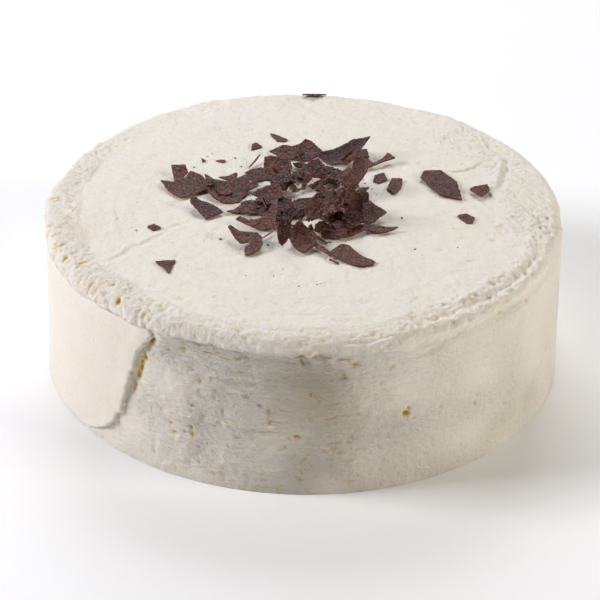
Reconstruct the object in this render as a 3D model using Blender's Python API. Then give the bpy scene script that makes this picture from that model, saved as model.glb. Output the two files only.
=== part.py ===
"""A round frosted cake with chocolate shards scattered over its top.

Built in metres, +Z up. The cake stands on its flat foot, with the origin in the middle of it, +X to the
right and +Y to the back. Azimuths are in degrees from +X towards +Y, so the front is at -90.
"""

import itertools
import math
import random
from typing import NamedTuple

import bmesh
import bpy
import numpy as np
from mathutils import Euler, Matrix, Vector
from mathutils.bvhtree import BVHTree

MM = 0.001

# The body of the cake, before the spatula's marks
FOOT_RADIUS = 118.8 * MM
SHOULDER_RADIUS = 117.4 * MM
CAKE_HEIGHT = 76.2 * MM
SHOULDER_ROUND = 5.5 * MM
CROWN_RADIUS = SHOULDER_RADIUS - SHOULDER_ROUND
WALL_TOP = CAKE_HEIGHT - SHOULDER_ROUND

# How finely the body is cut into faces
SEGMENTS = 144
CROWN_RINGS = (0.0, 0.56, 0.7, 0.8, 0.87, 0.92, 0.955, 0.985)  # shares of the crown's radius
SHOULDER_STEPS = 4
WALL_RINGS = (0.045, 0.12, 0.24, 0.4, 0.56, 0.72, 0.88, 1.0)  # shares of the wall's height, from its top

# The torn rim, where the spatula dragged the cream up over the shoulder
RIM_LUMP = 0.55 * MM
TORN_LUMP = 1.15 * MM
RIM_LUMP_SIZE = 10.0 * MM
RIM_WIDTH = 15.0 * MM
RIM_FULL_TO = 0.3 * RIM_WIDTH
TORN_LEFT = (-215.0, -112.0)
TORN_RIGHT = (-75.0, -5.0)
TORN_FADE = 12.0
CROWN_SWELL = 0.7 * MM
CROWN_SWELL_SIZE = 45.0 * MM
WALL_SWELL = 0.7 * MM
WALL_SWELL_SIZE = 34.0 * MM
CALM_RADIUS = 62.0 * MM  # the crown is level out to here, where the shards lie
RIM_SEED = 11
CROWN_SEED = 3
WALL_SEED = 5

# The bead that overhangs the wall along the front, and the hollow under it
BEAD_FROM = -150.0
BEAD_TO = -62.0
BEAD_PROUD = 0.9 * MM
BEAD_BELOW_TOP = 4.2 * MM
BEAD_HALF_HEIGHT = 2.6 * MM
BEAD_HOLLOW = 0.9 * MM
BEAD_HOLLOW_BELOW_TOP = 10.5 * MM
BEAD_HOLLOW_HALF_HEIGHT = 4.0 * MM

# The groove that tears the crown's edge open at the front right
GROOVE_FROM = -68.0
GROOVE_TO = -14.0
GROOVE_DEPTH = 1.8 * MM
GROOVE_HALF_WIDTH = 2.6 * MM
GROOVE_INSET = 6.6 * MM

# The smooth smear on the wall at the left, whose torn edge stands proud of the sunk wall beside it
SMEAR_FROM = -204.0
SMEAR_TO = -123.0
SMEAR_SLANT = 12.0  # the torn edge leans this much to the left over the wall's height
SMEAR_CORNER = 10.0  # and this much more where it rounds into the foot
SMEAR_CORNER_HEIGHT = 22.0 * MM
SMEAR_FOOT = 1.0 * MM
SMEAR_TOP = 71.5 * MM
SMEAR_PROUD = 0.3 * MM
SMEAR_DEPTH = 6.0 * MM
SMEAR_COLUMNS = 16
SMEAR_ROWS = 10
SMEAR_CROWDING = 1.6  # over 1 puts more of the rows near the foot
SMEAR_SUNK_TOP = 1.6 * MM
SMEAR_SUNK_FROM = 0.84 * SMEAR_TOP
SUNK_WALL = 2.3 * MM
SUNK_UNTIL = -92.0
SUNK_START_FADE = 20.0
SUNK_PAST_EDGE = 4.0  # the wall is sunk in full until this far past the torn edge
SUNK_FADES_FROM = 0.78 * CAKE_HEIGHT
SUNK_FADES_TO = 0.95 * CAKE_HEIGHT
FOOT_FADE = 8.0 * MM  # the marks fade out over this height at the foot

# Beads of cream that the spatula left, as a path of azimuth, radius and height in mm, and how thick each is
BEAD_PATHS = {
    "tongue_lip": (
        1.25 * MM,
        (
            (52, 112.5, 76.0),
            (44, 110.5, 76.1),
            (38, 107.5, 76.1),
            (33, 101, 76.1),
            (28, 92, 76.1),
            (25, 82, 76.0),
            (29, 74, 75.6),
        ),
    ),
    "stroke_lip": (0.9 * MM, ((31, 104, 75.9), (24, 99, 76.1), (17, 93, 76.1), (12, 87, 75.7))),
    "front_lip": (
        1.4 * MM,
        ((-90, 115.8, 75.0), (-84, 117.0, 73.4), (-77, 117.6, 72.6), (-72, 117.2, 73.6), (-69, 115.0, 75.6)),
    ),
    "right_lip": (1.2 * MM, ((-14, 112.5, 76.0), (-9, 115.8, 75.0), (-5, 117.0, 72.0))),
}
BEAD_BEVEL_STEPS = 1
BEAD_CURVE_STEPS = 3
BEAD_END = 0.4  # share of a bead's thickness at its ends

# How close points and cuts are before they count as one
WELD = 0.001 * MM
CUT_SLACK = 0.01 * MM
LEAST_LENGTH = 1e-9

# The chocolate
SHARD_THICK = 1.3 * MM
FLAKE_THICK = 1.1 * MM
FLAKE_SUNK = 0.35 * MM
GAP = 0.35 * MM
SEEN_FROM = math.radians(28.9)  # the outlines of most shards are as seen from the front, this far above the level
FIRST_RISE = 1.5 * MM  # the height at which a shard's place is first guessed
PLACE_ROUNDS = 3
STRONG_BEND = 28.0
SLIGHT_BEND = 8.0
STRONG_CUTS = (-0.17, 0.17)  # shares of the plate's side
SLIGHT_CUTS = (0.0,)
HEAP_BITE = 0.6 * MM  # how far a shard of the heap is pressed into what it lies on
HEAP_NUDGE = 0.7 * MM  # one step of a shard that is pushed in until it meets the heap
HEAP_SEED = 41
HEAP_FILL = 16
HEAP_FILL_SPREAD = (22.0 * MM, 26.0 * MM)
HEAP_FILL_CENTRE = (2.0 * MM, 2.0 * MM)
HEAP_FILL_REACH = (0.02, 1.0)
HEAP_FILL_FORMS = ("slab", "leaf", "blade", "triangle")
HEAP_FILL_LENGTH = (8.0, 13.0)  # mm
HEAP_FILL_WIDTH = (5.0, 8.5)  # mm
HEAP_FILL_PITCH = (-10.0, 18.0)
HEAP_FILL_ROLL = (-10.0, 34.0)
CORE_CENTRE = (-2.0 * MM, 4.0 * MM)
CORE_RINGS = ((1.0, 0.0), (0.95, 0.8 * MM), (0.6, 1.5 * MM), (0.3, 2.2 * MM))  # share of outline, height
CORE_UNEVEN = (0.8, 1.2)
CORE_OUTLINE = (
    (-46, 13), (-35, 17), (-24, 18), (-17, 32), (-5, 45), (10, 38), (25, 41), (19, 25),
    (20, 8), (28, -9), (29, -18), (17, -23), (5, -30), (-8, -28), (-20, -13), (-32, -3),
)  # fmt: skip

CREAM_COLOUR = (0.84, 0.80, 0.72, 1.0)
CHOCOLATE_COLOUR = (0.072, 0.036, 0.026, 1.0)
CREAM_ROUGHNESS = 0.55
CHOCOLATE_ROUGHNESS = 0.5
CREASE_ANGLE = 35.0

# Outlines of the broken shards, one unit long in X and one wide in Y
SHARD_FORMS = {
    "slab": ((-0.5, -0.32), (0.34, -0.5), (0.5, 0.28), (0.1, 0.4), (-0.4, 0.5)),
    "blade": ((-0.5, -0.3), (-0.1, -0.5), (0.26, -0.24), (0.5, 0.16), (0.2, 0.34), (-0.36, 0.5)),
    "leaf": ((-0.5, -0.12), (-0.12, -0.5), (0.32, -0.34), (0.5, 0.14), (0.12, 0.5), (-0.3, 0.38)),
    "triangle": ((-0.5, 0.42), (0.16, -0.5), (0.5, 0.5)),
}


class Shard(NamedTuple):
    """A broken plate of chocolate, with its corners as seen, in mm to the right of the top's middle and up."""

    corners: tuple
    roll: float = 0.0  # the back side up
    pitch: float = 0.0  # the right end up
    grain: float = 0.0  # how far its own length is turned from the right towards the back
    bends: tuple = (0.0, 0.0)  # curled up along its length and across its width


class Chip(NamedTuple):
    """A smaller shard of a plain form: where it lies, how large it is and how it is turned, in mm and degrees."""

    form: str
    place: tuple
    size: tuple
    heading: float = 0.0
    pitch: float = 0.0
    roll: float = 0.0
    bends: tuple = (0.0, 0.0)


# Shards of the heap that show, in the order in which they fell
HEAP_SHARDS = {
    "left_wing": Shard(
        ((-66.4, 10.2), (-60, 9.7), (-55, 12.2), (-53.2, 14.8), (-47.4, 12.6), (-45, 9.4), (-43.6, 6.4),
         (-50, 4.4), (-56.4, 2.3), (-61, 4.6), (-64, 7.4)), roll=5, bends=(12, 14)),
    "left_dark": Shard(
        ((-52, 3.2), (-50.6, 3.6), (-46.6, 1.4), (-43.6, 0.6), (-40, -1), (-36.6, -3.4), (-40.2, -5),
         (-44.2, -7), (-48, -3), (-51.8, 0.6)), roll=14, bends=(0, 14)),
    "left_sliver": Shard(
        ((-40, 12.4), (-36, 13), (-32.2, 14.6), (-31.2, 13.8), (-31.6, 11.4), (-33.4, 10.4), (-36, 11.4)),
        roll=14, bends=(20, 0)),
    "left_bowl": Shard(
        ((-46.2, 12.2), (-42, 10.6), (-38, 10.4), (-34, 10.2), (-31, 11.4), (-27.6, 12.4), (-25.4, 9.8),
         (-24.6, 7.4), (-26, 5), (-28, 2.2), (-29.6, -0.4), (-33, -0.4), (-37, 0.2), (-41, 2.2), (-44.4, 5),
         (-45, 8)), roll=12, bends=(34, 26)),
    "left_fold": Shard(
        ((-42.4, 9.6), (-38, 10.2), (-33, 10), (-30.4, 8), (-31.6, 4.8), (-38.8, 4.2), (-40, 6)),
        roll=16, bends=(26, 14)),
    "left_square": Shard(((-62.2, 17.8), (-55.6, 17.8), (-54, 14.6), (-58, 10.4), (-60.2, 10)), roll=22,
        bends=(0, 10)),
    "left_twig": Shard(((-35.2, -3), (-32, -2.4), (-29.4, -0.6), (-27, -0.8), (-27.6, -3.2), (-31, -4)), roll=10),
    "back_dark": Shard(((-28.6, 13.6), (-23, 14.6), (-18.6, 15.2), (-19, 11.6), (-23, 10.6), (-27, 12)), roll=14),
    "back_small": Shard(((-28, 14.8), (-24.4, 16.6), (-20.4, 17.6), (-18.6, 16.4), (-20.6, 14.8), (-25, 14)),
        roll=22, bends=(14, 0)),
    "back_chip": Shard(((25.2, 27), (29, 27.2), (30, 23.2), (24.6, 22.4), (22.6, 24)), roll=8),
    "back_chunk": Shard(((22.6, 21), (25, 22.6), (29.6, 22), (32, 20), (29, 18.6), (24, 18.4)), roll=12),
    "back_splinter": Shard(
        ((38.6, 25.2), (42, 22.8), (36, 21), (32, 19.2), (27.6, 17.2), (26.4, 18), (31, 20), (36, 22.6)),
        roll=12, bends=(10, 0)),
    "right_speck": Shard(((22.6, 6.2), (25.4, 8.6), (29.6, 9), (27.4, 6.6), (25, 5)), roll=16),
    "right_splinter": Shard(((24.4, -8.2), (32, -8.4), (36, -9), (42, -9.4), (37.4, -10.9), (32.6, -11.7),
        (27, -10.4)), roll=14, bends=(12, 0)),
    "right_torn": Shard(
        ((25, 1.8), (28, 3), (30, 2), (32.4, 0.2), (35, -1), (37, -2.6), (34, -4.6), (31.4, -7.2),
         (28.6, -8), (25.4, -5), (24.6, -1)), roll=24, bends=(0, 14)),
    "front_twig": Shard(((4, -15.6), (7, -17), (10.4, -19.4), (12.4, -21.2), (8, -19.8), (4.4, -17.4)), roll=8),
    "hollow_left": Shard(((-13.6, 3), (-6.2, 2.6), (-5.2, -0.8), (-7, -3), (-11, -5), (-13.6, -2)), roll=10),
    "hollow_front": Shard(((-12.4, -4.8), (-9, -3.6), (-5, -2.4), (-2.8, -3.2), (-5.6, -6.2), (-9.4, -7),
        (-12.8, -6.8)), roll=30, bends=(0, 16)),
    "lower_left": Shard(
        ((-28.8, 0.8), (-26.6, 1.8), (-20, 2), (-18.2, 0), (-17.6, -2.6), (-19.6, -4.6), (-24, -4), (-28.4, -3.6),
         (-29, -1)), roll=18, bends=(0, 12)),
    "middle_left": Shard(
        ((-21, 13.4), (-14, 13.8), (-8, 15.4), (-5.8, 13), (-7.4, 10.4), (-11, 10), (-15, 10.8), (-19, 11)),
        roll=20, bends=(10, 12)),
    "back_gloss": Shard(((-6, 19.6), (-2, 20.2), (1.4, 19), (1.2, 16.6), (-2, 17.6), (-4.6, 18)), roll=34,
        bends=(26, 0)),
    "back_slab": Shard(
        ((-19.6, 14.4), (-19, 22.2), (-16, 23), (-9.6, 21.8), (-6.6, 20.2), (-6, 17.6), (-7.2, 15), (-13, 14.2)),
        roll=30, bends=(0, 12)),
    "back_hood": Shard(((-2.6, 15.6), (0, 18.6), (3, 21), (6.4, 21.8), (8, 19.6), (7.4, 16), (3.6, 14.2),
        (-0.6, 13.6)), roll=30, pitch=6, bends=(30, 20)),
    "back_wing": Shard(
        ((-17, 24.8), (-13.6, 26.6), (-10.6, 28.2), (-6.6, 27.6), (-2.6, 29), (-0.2, 31), (2.6, 30), (5.4, 27.6),
         (7.8, 25.4), (8, 23.4), (2.6, 21.6), (-2, 20.6), (-6, 21.2), (-10, 21.4), (-14, 23.4)),
        roll=24, bends=(14, 16)),
    "back_blade": Shard(
        ((30.4, 33), (25, 31.9), (22.4, 31.6), (18, 29), (14, 27), (10.6, 26), (7, 25.2), (6, 23), (8.6, 20.8),
         (12, 19.4), (17, 19.2), (20.6, 21), (24, 24.4), (27, 28)), roll=26, pitch=10, grain=24, bends=(6, 34)),
    "blade_fold": Shard(((15.8, 19.4), (19.4, 19.6), (24, 23.4), (26.4, 27), (24.6, 27), (20, 23.2)), roll=34,
        pitch=10),
    "arc_dark": Shard(((1.6, 13), (5.6, 17.4), (10, 18.2), (14, 17.2), (18.8, 15), (14, 14), (8, 12.8)), roll=26,
        bends=(30, 10)),
    "arc_small": Shard(((-7, 13), (-4.6, 15.8), (-1.6, 15.8), (-1, 13), (-4, 11.6)), roll=24, bends=(20, 0)),
    "arc_left": Shard(((-1.8, 7), (-1.2, 10.4), (0.8, 13.4), (3.4, 15), (3.4, 12.8), (1, 10), (0.2, 7.6)), roll=34,
        bends=(10, 20)),
    "arc_lower": Shard(
        ((2.2, 8.6), (4.6, 10.6), (8, 12.4), (11.4, 14.2), (14.6, 15.6), (19, 15.6), (15.6, 13.4), (12.4, 11.8),
         (9, 10), (5.6, 8.2), (3.4, 7.4)), roll=32, bends=(26, 8)),
    "curl_foot": Shard(((14.6, 12), (20.2, 16), (22, 14.2), (18.4, 9.6), (15.6, 8.6)), roll=12),
    "middle_long": Shard(
        ((-24.4, 4.8), (-21, 6.8), (-16, 8.8), (-11.6, 9), (-10.2, 6.6), (-10, 3), (-13, 2), (-17, 2.4),
         (-21, 3.4)), roll=24, bends=(12, 14)),
    "right_curl": Shard(
        ((16.2, 7.2), (17.4, 10.4), (19.2, 12.2), (21.4, 15), (22, 18.4), (23.6, 20.2), (25.2, 19.8), (27, 19.4),
         (28.8, 17.6), (29.2, 15), (27.8, 12), (25.8, 9), (24, 6.8), (20.4, 6.4)),
        roll=32, pitch=12, grain=52, bends=(12, 46)),
    "right_wing": Shard(
        ((12.2, -8.2), (15, -7), (19, -7.2), (23.6, -8), (27.2, -8.6), (27.2, -10.2), (24.4, -11.6), (21, -13.2),
         (16.6, -13.8)), roll=18, bends=(10, 12)),
    "front_chip": Shard(((7.2, -9.8), (11.4, -10.8), (14.6, -11.6), (16.8, -13.6), (12, -14.2), (7.8, -13.6)),
        roll=20, bends=(0, 10)),
    "front_bit": Shard(((5, -8.8), (6.4, -7), (9, -6.8), (11, -8.4), (12, -10.8), (8.6, -11.2), (6, -10.8)),
        roll=30, bends=(0, 14)),
    "front_bowl": Shard(
        ((-7.2, -13.6), (-6.2, -11.2), (-4.6, -9.4), (-3.4, -7.8), (-1.4, -7.2), (0.8, -9.4), (2.4, -10.8),
         (4.6, -11.8), (6, -14.6), (4.6, -17.6), (2, -20), (0.2, -21.6), (-2.4, -20.8), (-5, -18), (-6.4, -15.6)),
        roll=30, grain=-40, bends=(26, 44)),
    "front_blade": Shard(
        ((-12, -8.4), (-9.8, -6), (-7.2, -5.6), (-5.6, -8.6), (-5.8, -12), (-7.2, -15.2), (-9.6, -18.2),
         (-11.2, -16.4), (-11.8, -13)), roll=48, bends=(22, 14)),
    "lower_vee": Shard(
        ((-30.8, -7), (-28.8, -5.6), (-25, -7.2), (-21, -6.6), (-18.6, -5.2), (-16, -2.6), (-14, 1), (-12, 2.6),
         (-11.8, -2), (-12.4, -6), (-13.2, -10), (-15, -11.4), (-18, -11.6), (-22, -10.4), (-26, -9)),
        roll=26, pitch=4, bends=(20, 18)),
    "tall_shell": Shard(
        ((20.6, 5.8), (24, 6.6), (28.4, 6.4), (28.8, 3), (26.8, 1.4), (26.4, -2), (27.2, -7.2), (23.4, -8),
         (20, -7), (16.6, -6.4), (18, -3), (19.6, 0)), roll=44, bends=(30, 20)),
    "crown_plate": Shard(((-5, 1.6), (-2.6, 3), (3.2, 3.4), (3, 0.8), (0.4, -2), (-2.4, -3.4), (-5.6, -1)),
        roll=22, bends=(10, 16)),
    "stack_back": Shard(((2, 1.8), (5.6, 6), (9.6, 7), (14, 6.4), (16.6, 8), (14.6, 4.4), (9, 1.4), (5, 1)),
        roll=26, bends=(20, 0)),
    "stack_left": Shard(((0, -3.4), (2.4, 0.8), (5.8, 3), (9.2, 1.2), (8, -2), (4.6, -6), (1.8, -5.2)), roll=34,
        grain=30, bends=(14, 26)),
    "stack_ridge": Shard(((8.8, 1.8), (12.6, 4.4), (18.4, 7.4), (21, 6.8), (17, 2.8), (11, 0.2)), roll=32,
        grain=24, bends=(12, 0)),
    "stack_low": Shard(((6.2, -5.2), (8.6, -0.8), (11, -0.4), (14.8, -0.8), (13, -3.4), (9.6, -6)), roll=30,
        bends=(0, 18)),
    "stack_upper": Shard(((12, -5), (14.6, -1), (18, 3.6), (18.6, -0.6), (17.2, -4), (14.6, -6)), roll=38,
        grain=40, bends=(10, 24)),
    "stack_lens": Shard(((17.8, -4.6), (18.2, -1), (19.6, 3.2), (21.2, 5.2), (22.8, 4.4), (22.8, 1.6),
        (21.4, -1.6), (19.8, -4.8)), roll=44, grain=70, bends=(10, 40)),
}  # fmt: skip

# Shards as large as berries that lie apart from the heap, each a piece of its own
LONE_SHARDS = {
    "shard_right": Shard(((53.5, 14.1), (55.4, 16.9), (63.2, 17.6), (70.2, 12.1), (72, 3.8), (62.2, 6)), roll=2,
        bends=(4, 4)),
    "shard_front": Shard(
        ((11.2, -20.2), (13.4, -18.6), (15.4, -17.2), (17.4, -16.7), (20, -17.2), (22.4, -19.4), (25.4, -21.4),
         (29, -23), (31.2, -24.2), (30, -25.7), (26.6, -26.1), (22, -25.7), (17.6, -24), (13.6, -22)), roll=7,
        bends=(8, 12)),
    "shard_front_left": Shard(
        ((-34, -10.6), (-33, -10), (-28.6, -11.8), (-24, -12), (-20.6, -12.6), (-18.6, -14.4), (-18, -17),
         (-19.4, -19.6), (-22, -21.2), (-25.4, -22), (-26.2, -20.6), (-26, -18.6), (-23.6, -17.4), (-24.6, -16),
         (-28, -16.8), (-30.6, -14.6)), roll=14, bends=(40, 12)),
}  # fmt: skip

BACK_RIM_SHARD = Chip("leaf", (4, 113), (12, 8), heading=3, roll=-28, bends=(0, 8))

# Flakes too small to be pieces of their own
SMALL_FLAKES = (
    Shard(((75.8, 8.7), (78, 9.9), (84.1, 11.2), (85, 8.6), (80.8, 5.2))),
    Shard(((69, -3.5), (73.2, -2.5), (76.9, -4.3), (75.6, -6.7), (72.9, -6.8))),
    Shard(((37.6, 8.1), (40.2, 13.2), (45.2, 12.8), (44, 8.7), (41, 6))),
    Shard(((31.4, 11.5), (32.3, 14.5), (36.4, 15.7), (38.1, 12.7), (34.1, 10.8))),
    Shard(((-64.6, -25.3), (-55.9, -24.9), (-58.3, -30), (-61, -27.6))),
    Shard(((-70.1, -10.6), (-67.4, -9.3), (-64, -10.7), (-67.1, -12.1))),
    Shard(((-17, 34), (-14.6, 33.6), (-8.6, 31.2), (-10, 30.4), (-13.6, 30.4))),
    Shard(((-25.6, 26), (-25.4, 28.8), (-23.4, 29.6), (-20.6, 27.4))),
    Shard(((-42, 20.4), (-40, 20.9), (-37.4, 20.7), (-39, 19.5))),
    Shard(((-48.8, 21.4), (-46.6, 20.2), (-48.2, 19.6))),
)


def smooth_step(value, low, high):
    """0 at low, 1 at high, with a soft start and end."""
    t = np.clip((value - low) / (high - low), 0.0, 1.0)
    return t * t * (3.0 - 2.0 * t)


def lattice_noise(points, size, seed):
    """Smooth noise from -1 to 1 at each of the points, with lumps about size across."""
    scaled = points / size
    cell = np.floor(scaled).astype(np.int64)
    part = scaled - cell
    ease = part * part * (3.0 - 2.0 * part)
    total = np.zeros(len(points))
    for corner in itertools.product((0, 1), repeat=3):
        at = cell + np.array(corner)
        mixed = (at[:, 0] * 73856093) ^ (at[:, 1] * 19349663) ^ (at[:, 2] * 83492791) ^ (seed * 2654435761)
        mixed = ((mixed & 0xFFFFFFFF) * 1103515245 + 12345) & 0x7FFFFFFF
        mixed = ((mixed >> 7) ^ mixed) * 48271 % 0x7FFFFFFF
        height = (mixed % 20001) / 10000.0 - 1.0
        share = np.where(corner, ease, 1.0 - ease).prod(axis=1)
        total += share * height
    return total


def turned_profile():
    """The radius and height of the body's outline, from the middle of the top to that of the foot."""
    points = [(CROWN_RADIUS * share, CAKE_HEIGHT) for share in CROWN_RINGS]
    for step in range(SHOULDER_STEPS + 1):
        turn = math.radians(90.0) * step / SHOULDER_STEPS
        radius = CROWN_RADIUS + SHOULDER_ROUND * math.sin(turn)
        points.append((radius, WALL_TOP + SHOULDER_ROUND * math.cos(turn)))
    points += [(wall_radius(WALL_TOP * (1.0 - share)), WALL_TOP * (1.0 - share)) for share in WALL_RINGS]
    points.append((0.0, 0.0))
    return points


def wall_radius(z):
    """The plain wall's radius at a height."""
    return FOOT_RADIUS + (SHOULDER_RADIUS - FOOT_RADIUS) * z / WALL_TOP


def from_the_right(azimuth):
    """The azimuth as a value from -270 to 90, so that the left side and the front are in one run."""
    return np.where(azimuth > 90.0, azimuth - 360.0, azimuth)


def span(azimuth, limits, fade):
    """1 between two azimuths, fading to 0 at both."""
    low, high = limits
    return smooth_step(azimuth, low, low + fade) * (1.0 - smooth_step(azimuth, high - fade, high))


def hump(value, middle, half_width):
    """A bell curve, 1 at the middle."""
    across = (value - middle) / half_width
    return np.exp(-across * across)


def bead_rise(azimuth, below_top):
    """The bead along the front of the rim, with the hollow under it."""
    rise = BEAD_PROUD * hump(below_top, BEAD_BELOW_TOP, BEAD_HALF_HEIGHT)
    rise -= BEAD_HOLLOW * hump(below_top, BEAD_HOLLOW_BELOW_TOP, BEAD_HOLLOW_HALF_HEIGHT)
    return rise * span(azimuth, (BEAD_FROM, BEAD_TO), TORN_FADE)


def groove_fall(azimuth, r, z):
    """How deep the torn groove at the front right lies."""
    from_corner = (CAKE_HEIGHT - z) + (SHOULDER_RADIUS - r)
    return GROOVE_DEPTH * span(azimuth, (GROOVE_FROM, GROOVE_TO), TORN_FADE) * hump(
        from_corner, GROOVE_INSET, GROOVE_HALF_WIDTH
    )


def wall_fall(azimuth, z):
    """How far the wall is sunk under the smear and beside its torn edge."""
    sunk = smooth_step(azimuth, SMEAR_FROM, SMEAR_FROM + SUNK_START_FADE)
    sunk = sunk * (1.0 - smooth_step(azimuth, SMEAR_TO + SUNK_PAST_EDGE, SUNK_UNTIL))
    return SUNK_WALL * sunk * (1.0 - smooth_step(z, SUNK_FADES_FROM, SUNK_FADES_TO))


def crown_swell(points, r):
    """The slow rise and fall of the crown outside the level middle."""
    outside = smooth_step(r, CALM_RADIUS, CROWN_RADIUS)
    return CROWN_SWELL * outside * lattice_noise(points, CROWN_SWELL_SIZE, CROWN_SEED)


def frosted(points):
    """The body's points, moved out or in by the spatula's marks."""
    x, y, z = points.T
    r = np.hypot(x, y)
    azimuth = from_the_right(np.degrees(np.arctan2(y, x)))
    out_r = np.maximum(r - CROWN_RADIUS, 0.0)
    out_z = np.maximum(z - WALL_TOP, 0.0)
    length = np.maximum(np.hypot(out_r, out_z), LEAST_LENGTH)
    normal_r, normal_z = out_r / length, out_z / length
    from_corner = np.hypot(np.maximum(CROWN_RADIUS - r, 0.0), np.maximum(WALL_TOP - z, 0.0))
    rim = 1.0 - smooth_step(from_corner, RIM_FULL_TO, RIM_WIDTH)
    torn = np.maximum(span(azimuth, TORN_LEFT, TORN_FADE), span(azimuth, TORN_RIGHT, TORN_FADE))
    lump = RIM_LUMP + (TORN_LUMP - RIM_LUMP) * torn
    moved = lump * rim * lattice_noise(points, RIM_LUMP_SIZE, RIM_SEED)
    moved += WALL_SWELL * normal_r * lattice_noise(points, WALL_SWELL_SIZE, WALL_SEED)
    moved += bead_rise(azimuth, CAKE_HEIGHT - z) * normal_r
    moved -= wall_fall(azimuth, z) * normal_r
    moved -= groove_fall(azimuth, r, z)
    moved += crown_swell(points, r) * normal_z
    moved *= smooth_step(z, 0.0, FOOT_FADE)
    safe_r = np.maximum(r, LEAST_LENGTH)
    shifted = points.copy()
    shifted[:, 0] += moved * normal_r * x / safe_r
    shifted[:, 1] += moved * normal_r * y / safe_r
    shifted[:, 2] += moved * normal_z
    return shifted


def finish_material(name, colour, roughness):
    """A plain finish for one object."""
    material = bpy.data.materials.new(name)
    material.use_nodes = True
    shader = material.node_tree.nodes["Principled BSDF"]
    shader.inputs["Base Color"].default_value = colour
    shader.inputs["Roughness"].default_value = roughness
    shader.inputs["Metallic"].default_value = 0.0
    return material


def object_from(name, bm, collection=None):
    """A mesh object made from the bmesh, which is then freed."""
    mesh = bpy.data.meshes.new(name)
    bm.to_mesh(mesh)
    bm.free()
    made = bpy.data.objects.new(name, mesh)
    (collection or bpy.context.scene.collection).objects.link(made)
    return made


def cake_body():
    """The turned body with the spatula's marks on it."""
    bm = bmesh.new()
    line = [bm.verts.new((radius, 0.0, height)) for radius, height in turned_profile()]
    edges = [bm.edges.new(pair) for pair in zip(line, line[1:])]
    bmesh.ops.spin(
        bm,
        geom=line + edges,
        cent=(0, 0, 0),
        axis=(0, 0, 1),
        angle=math.tau,
        steps=SEGMENTS,
        use_merge=True,
    )
    bmesh.ops.remove_doubles(bm, verts=bm.verts[:], dist=WELD)
    points = frosted(np.array([vert.co[:] for vert in bm.verts]))
    for vert, place in zip(bm.verts, points):
        vert.co = place
    bmesh.ops.recalc_face_normals(bm, faces=bm.faces[:])
    return object_from("cake", bm)


def smear(collection):
    """The smooth smear: a curved sheet with a torn right edge, its root inside the wall."""
    bm = bmesh.new()
    sheets = []
    for depth in (0.0, SMEAR_DEPTH):
        rows = []
        for row in range(SMEAR_ROWS + 1):
            z = SMEAR_FOOT + (SMEAR_TOP - SMEAR_FOOT) * (row / SMEAR_ROWS) ** SMEAR_CROWDING
            low = max(0.0, 1.0 - z / SMEAR_CORNER_HEIGHT)
            edge = SMEAR_TO - SMEAR_SLANT * (1.0 - z / SMEAR_TOP) - SMEAR_CORNER * low * low
            sunk_top = SMEAR_SUNK_TOP * float(smooth_step(z, SMEAR_SUNK_FROM, SMEAR_TOP))
            radius = wall_radius(z) + SMEAR_PROUD - sunk_top - depth
            turns = np.radians(np.linspace(SMEAR_FROM, edge, SMEAR_COLUMNS + 1))
            places = zip(radius * np.cos(turns), radius * np.sin(turns))
            rows.append([bm.verts.new((x, y, z)) for x, y in places])
        sheets.append(rows)
    for rows in sheets:
        for low_row, high_row in zip(rows, rows[1:]):
            for a, b, c, d in zip(low_row, low_row[1:], high_row[1:], high_row):
                bm.faces.new((a, b, c, d))
    rims = [
        rows[0] + [row[-1] for row in rows[1:]] + rows[-1][-2::-1] + [row[0] for row in rows[-2:0:-1]]
        for rows in sheets
    ]
    outer, inner = rims
    for a, b, c, d in zip(outer, outer[1:] + outer[:1], inner[1:] + inner[:1], inner):
        bm.faces.new((a, b, c, d))
    bmesh.ops.recalc_face_normals(bm, faces=bm.faces[:])
    return object_from("smear", bm, collection)


def cream_bead(name, thickness, path, collection):
    """A round bead of cream laid along a path, thinning out at both ends."""
    curve = bpy.data.curves.new(name, "CURVE")
    curve.dimensions = "3D"
    curve.bevel_depth = thickness
    curve.bevel_resolution = BEAD_BEVEL_STEPS
    curve.use_fill_caps = True
    curve.resolution_u = BEAD_CURVE_STEPS
    spline = curve.splines.new("NURBS")
    spline.points.add(len(path) - 1)
    for point, (azimuth, radius, height) in zip(spline.points, path):
        turn = math.radians(azimuth)
        point.co = (radius * MM * math.cos(turn), radius * MM * math.sin(turn), height * MM, 1.0)
        point.radius = 1.0
    for end in (spline.points[0], spline.points[-1]):
        end.radius = BEAD_END
    spline.order_u = 3
    spline.use_endpoint_u = True
    holder = bpy.data.objects.new(name, curve)
    bpy.context.scene.collection.objects.link(holder)
    solid = bpy.data.meshes.new_from_object(holder.evaluated_get(bpy.context.evaluated_depsgraph_get()))
    bpy.data.objects.remove(holder)
    bm = bmesh.new()
    bm.from_mesh(solid)
    bmesh.ops.remove_doubles(bm, verts=bm.verts[:], dist=WELD)
    bmesh.ops.recalc_face_normals(bm, faces=bm.faces[:])
    return object_from(name, bm, collection)


def bend_cuts(bend):
    """Where a plate is cut to bend it, as shares of its side: more cuts for a stronger bend."""
    if bend > STRONG_BEND:
        return STRONG_CUTS
    return SLIGHT_CUTS if bend > SLIGHT_BEND else ()


def bent(point, side, angle, axis):
    """The point of a flat plate after the plate is bent up along one axis, through angle over its side."""
    if not angle:
        return point
    radius = side / angle
    turn = point[axis] / radius
    moved = point.copy()
    inner = radius - point.z
    moved[axis] = inner * math.sin(turn)
    moved.z = radius - inner * math.cos(turn)
    return moved


def turn_of(row):
    """How a plate is turned from flat, as a matrix."""
    tilt = Euler((math.radians(row.roll), math.radians(-row.pitch), 0.0)).to_matrix()
    if isinstance(row, Chip):
        return Matrix.Rotation(math.radians(row.heading), 3, "Z") @ tilt
    return tilt @ Matrix.Rotation(math.radians(row.grain), 3, "Z")


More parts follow.
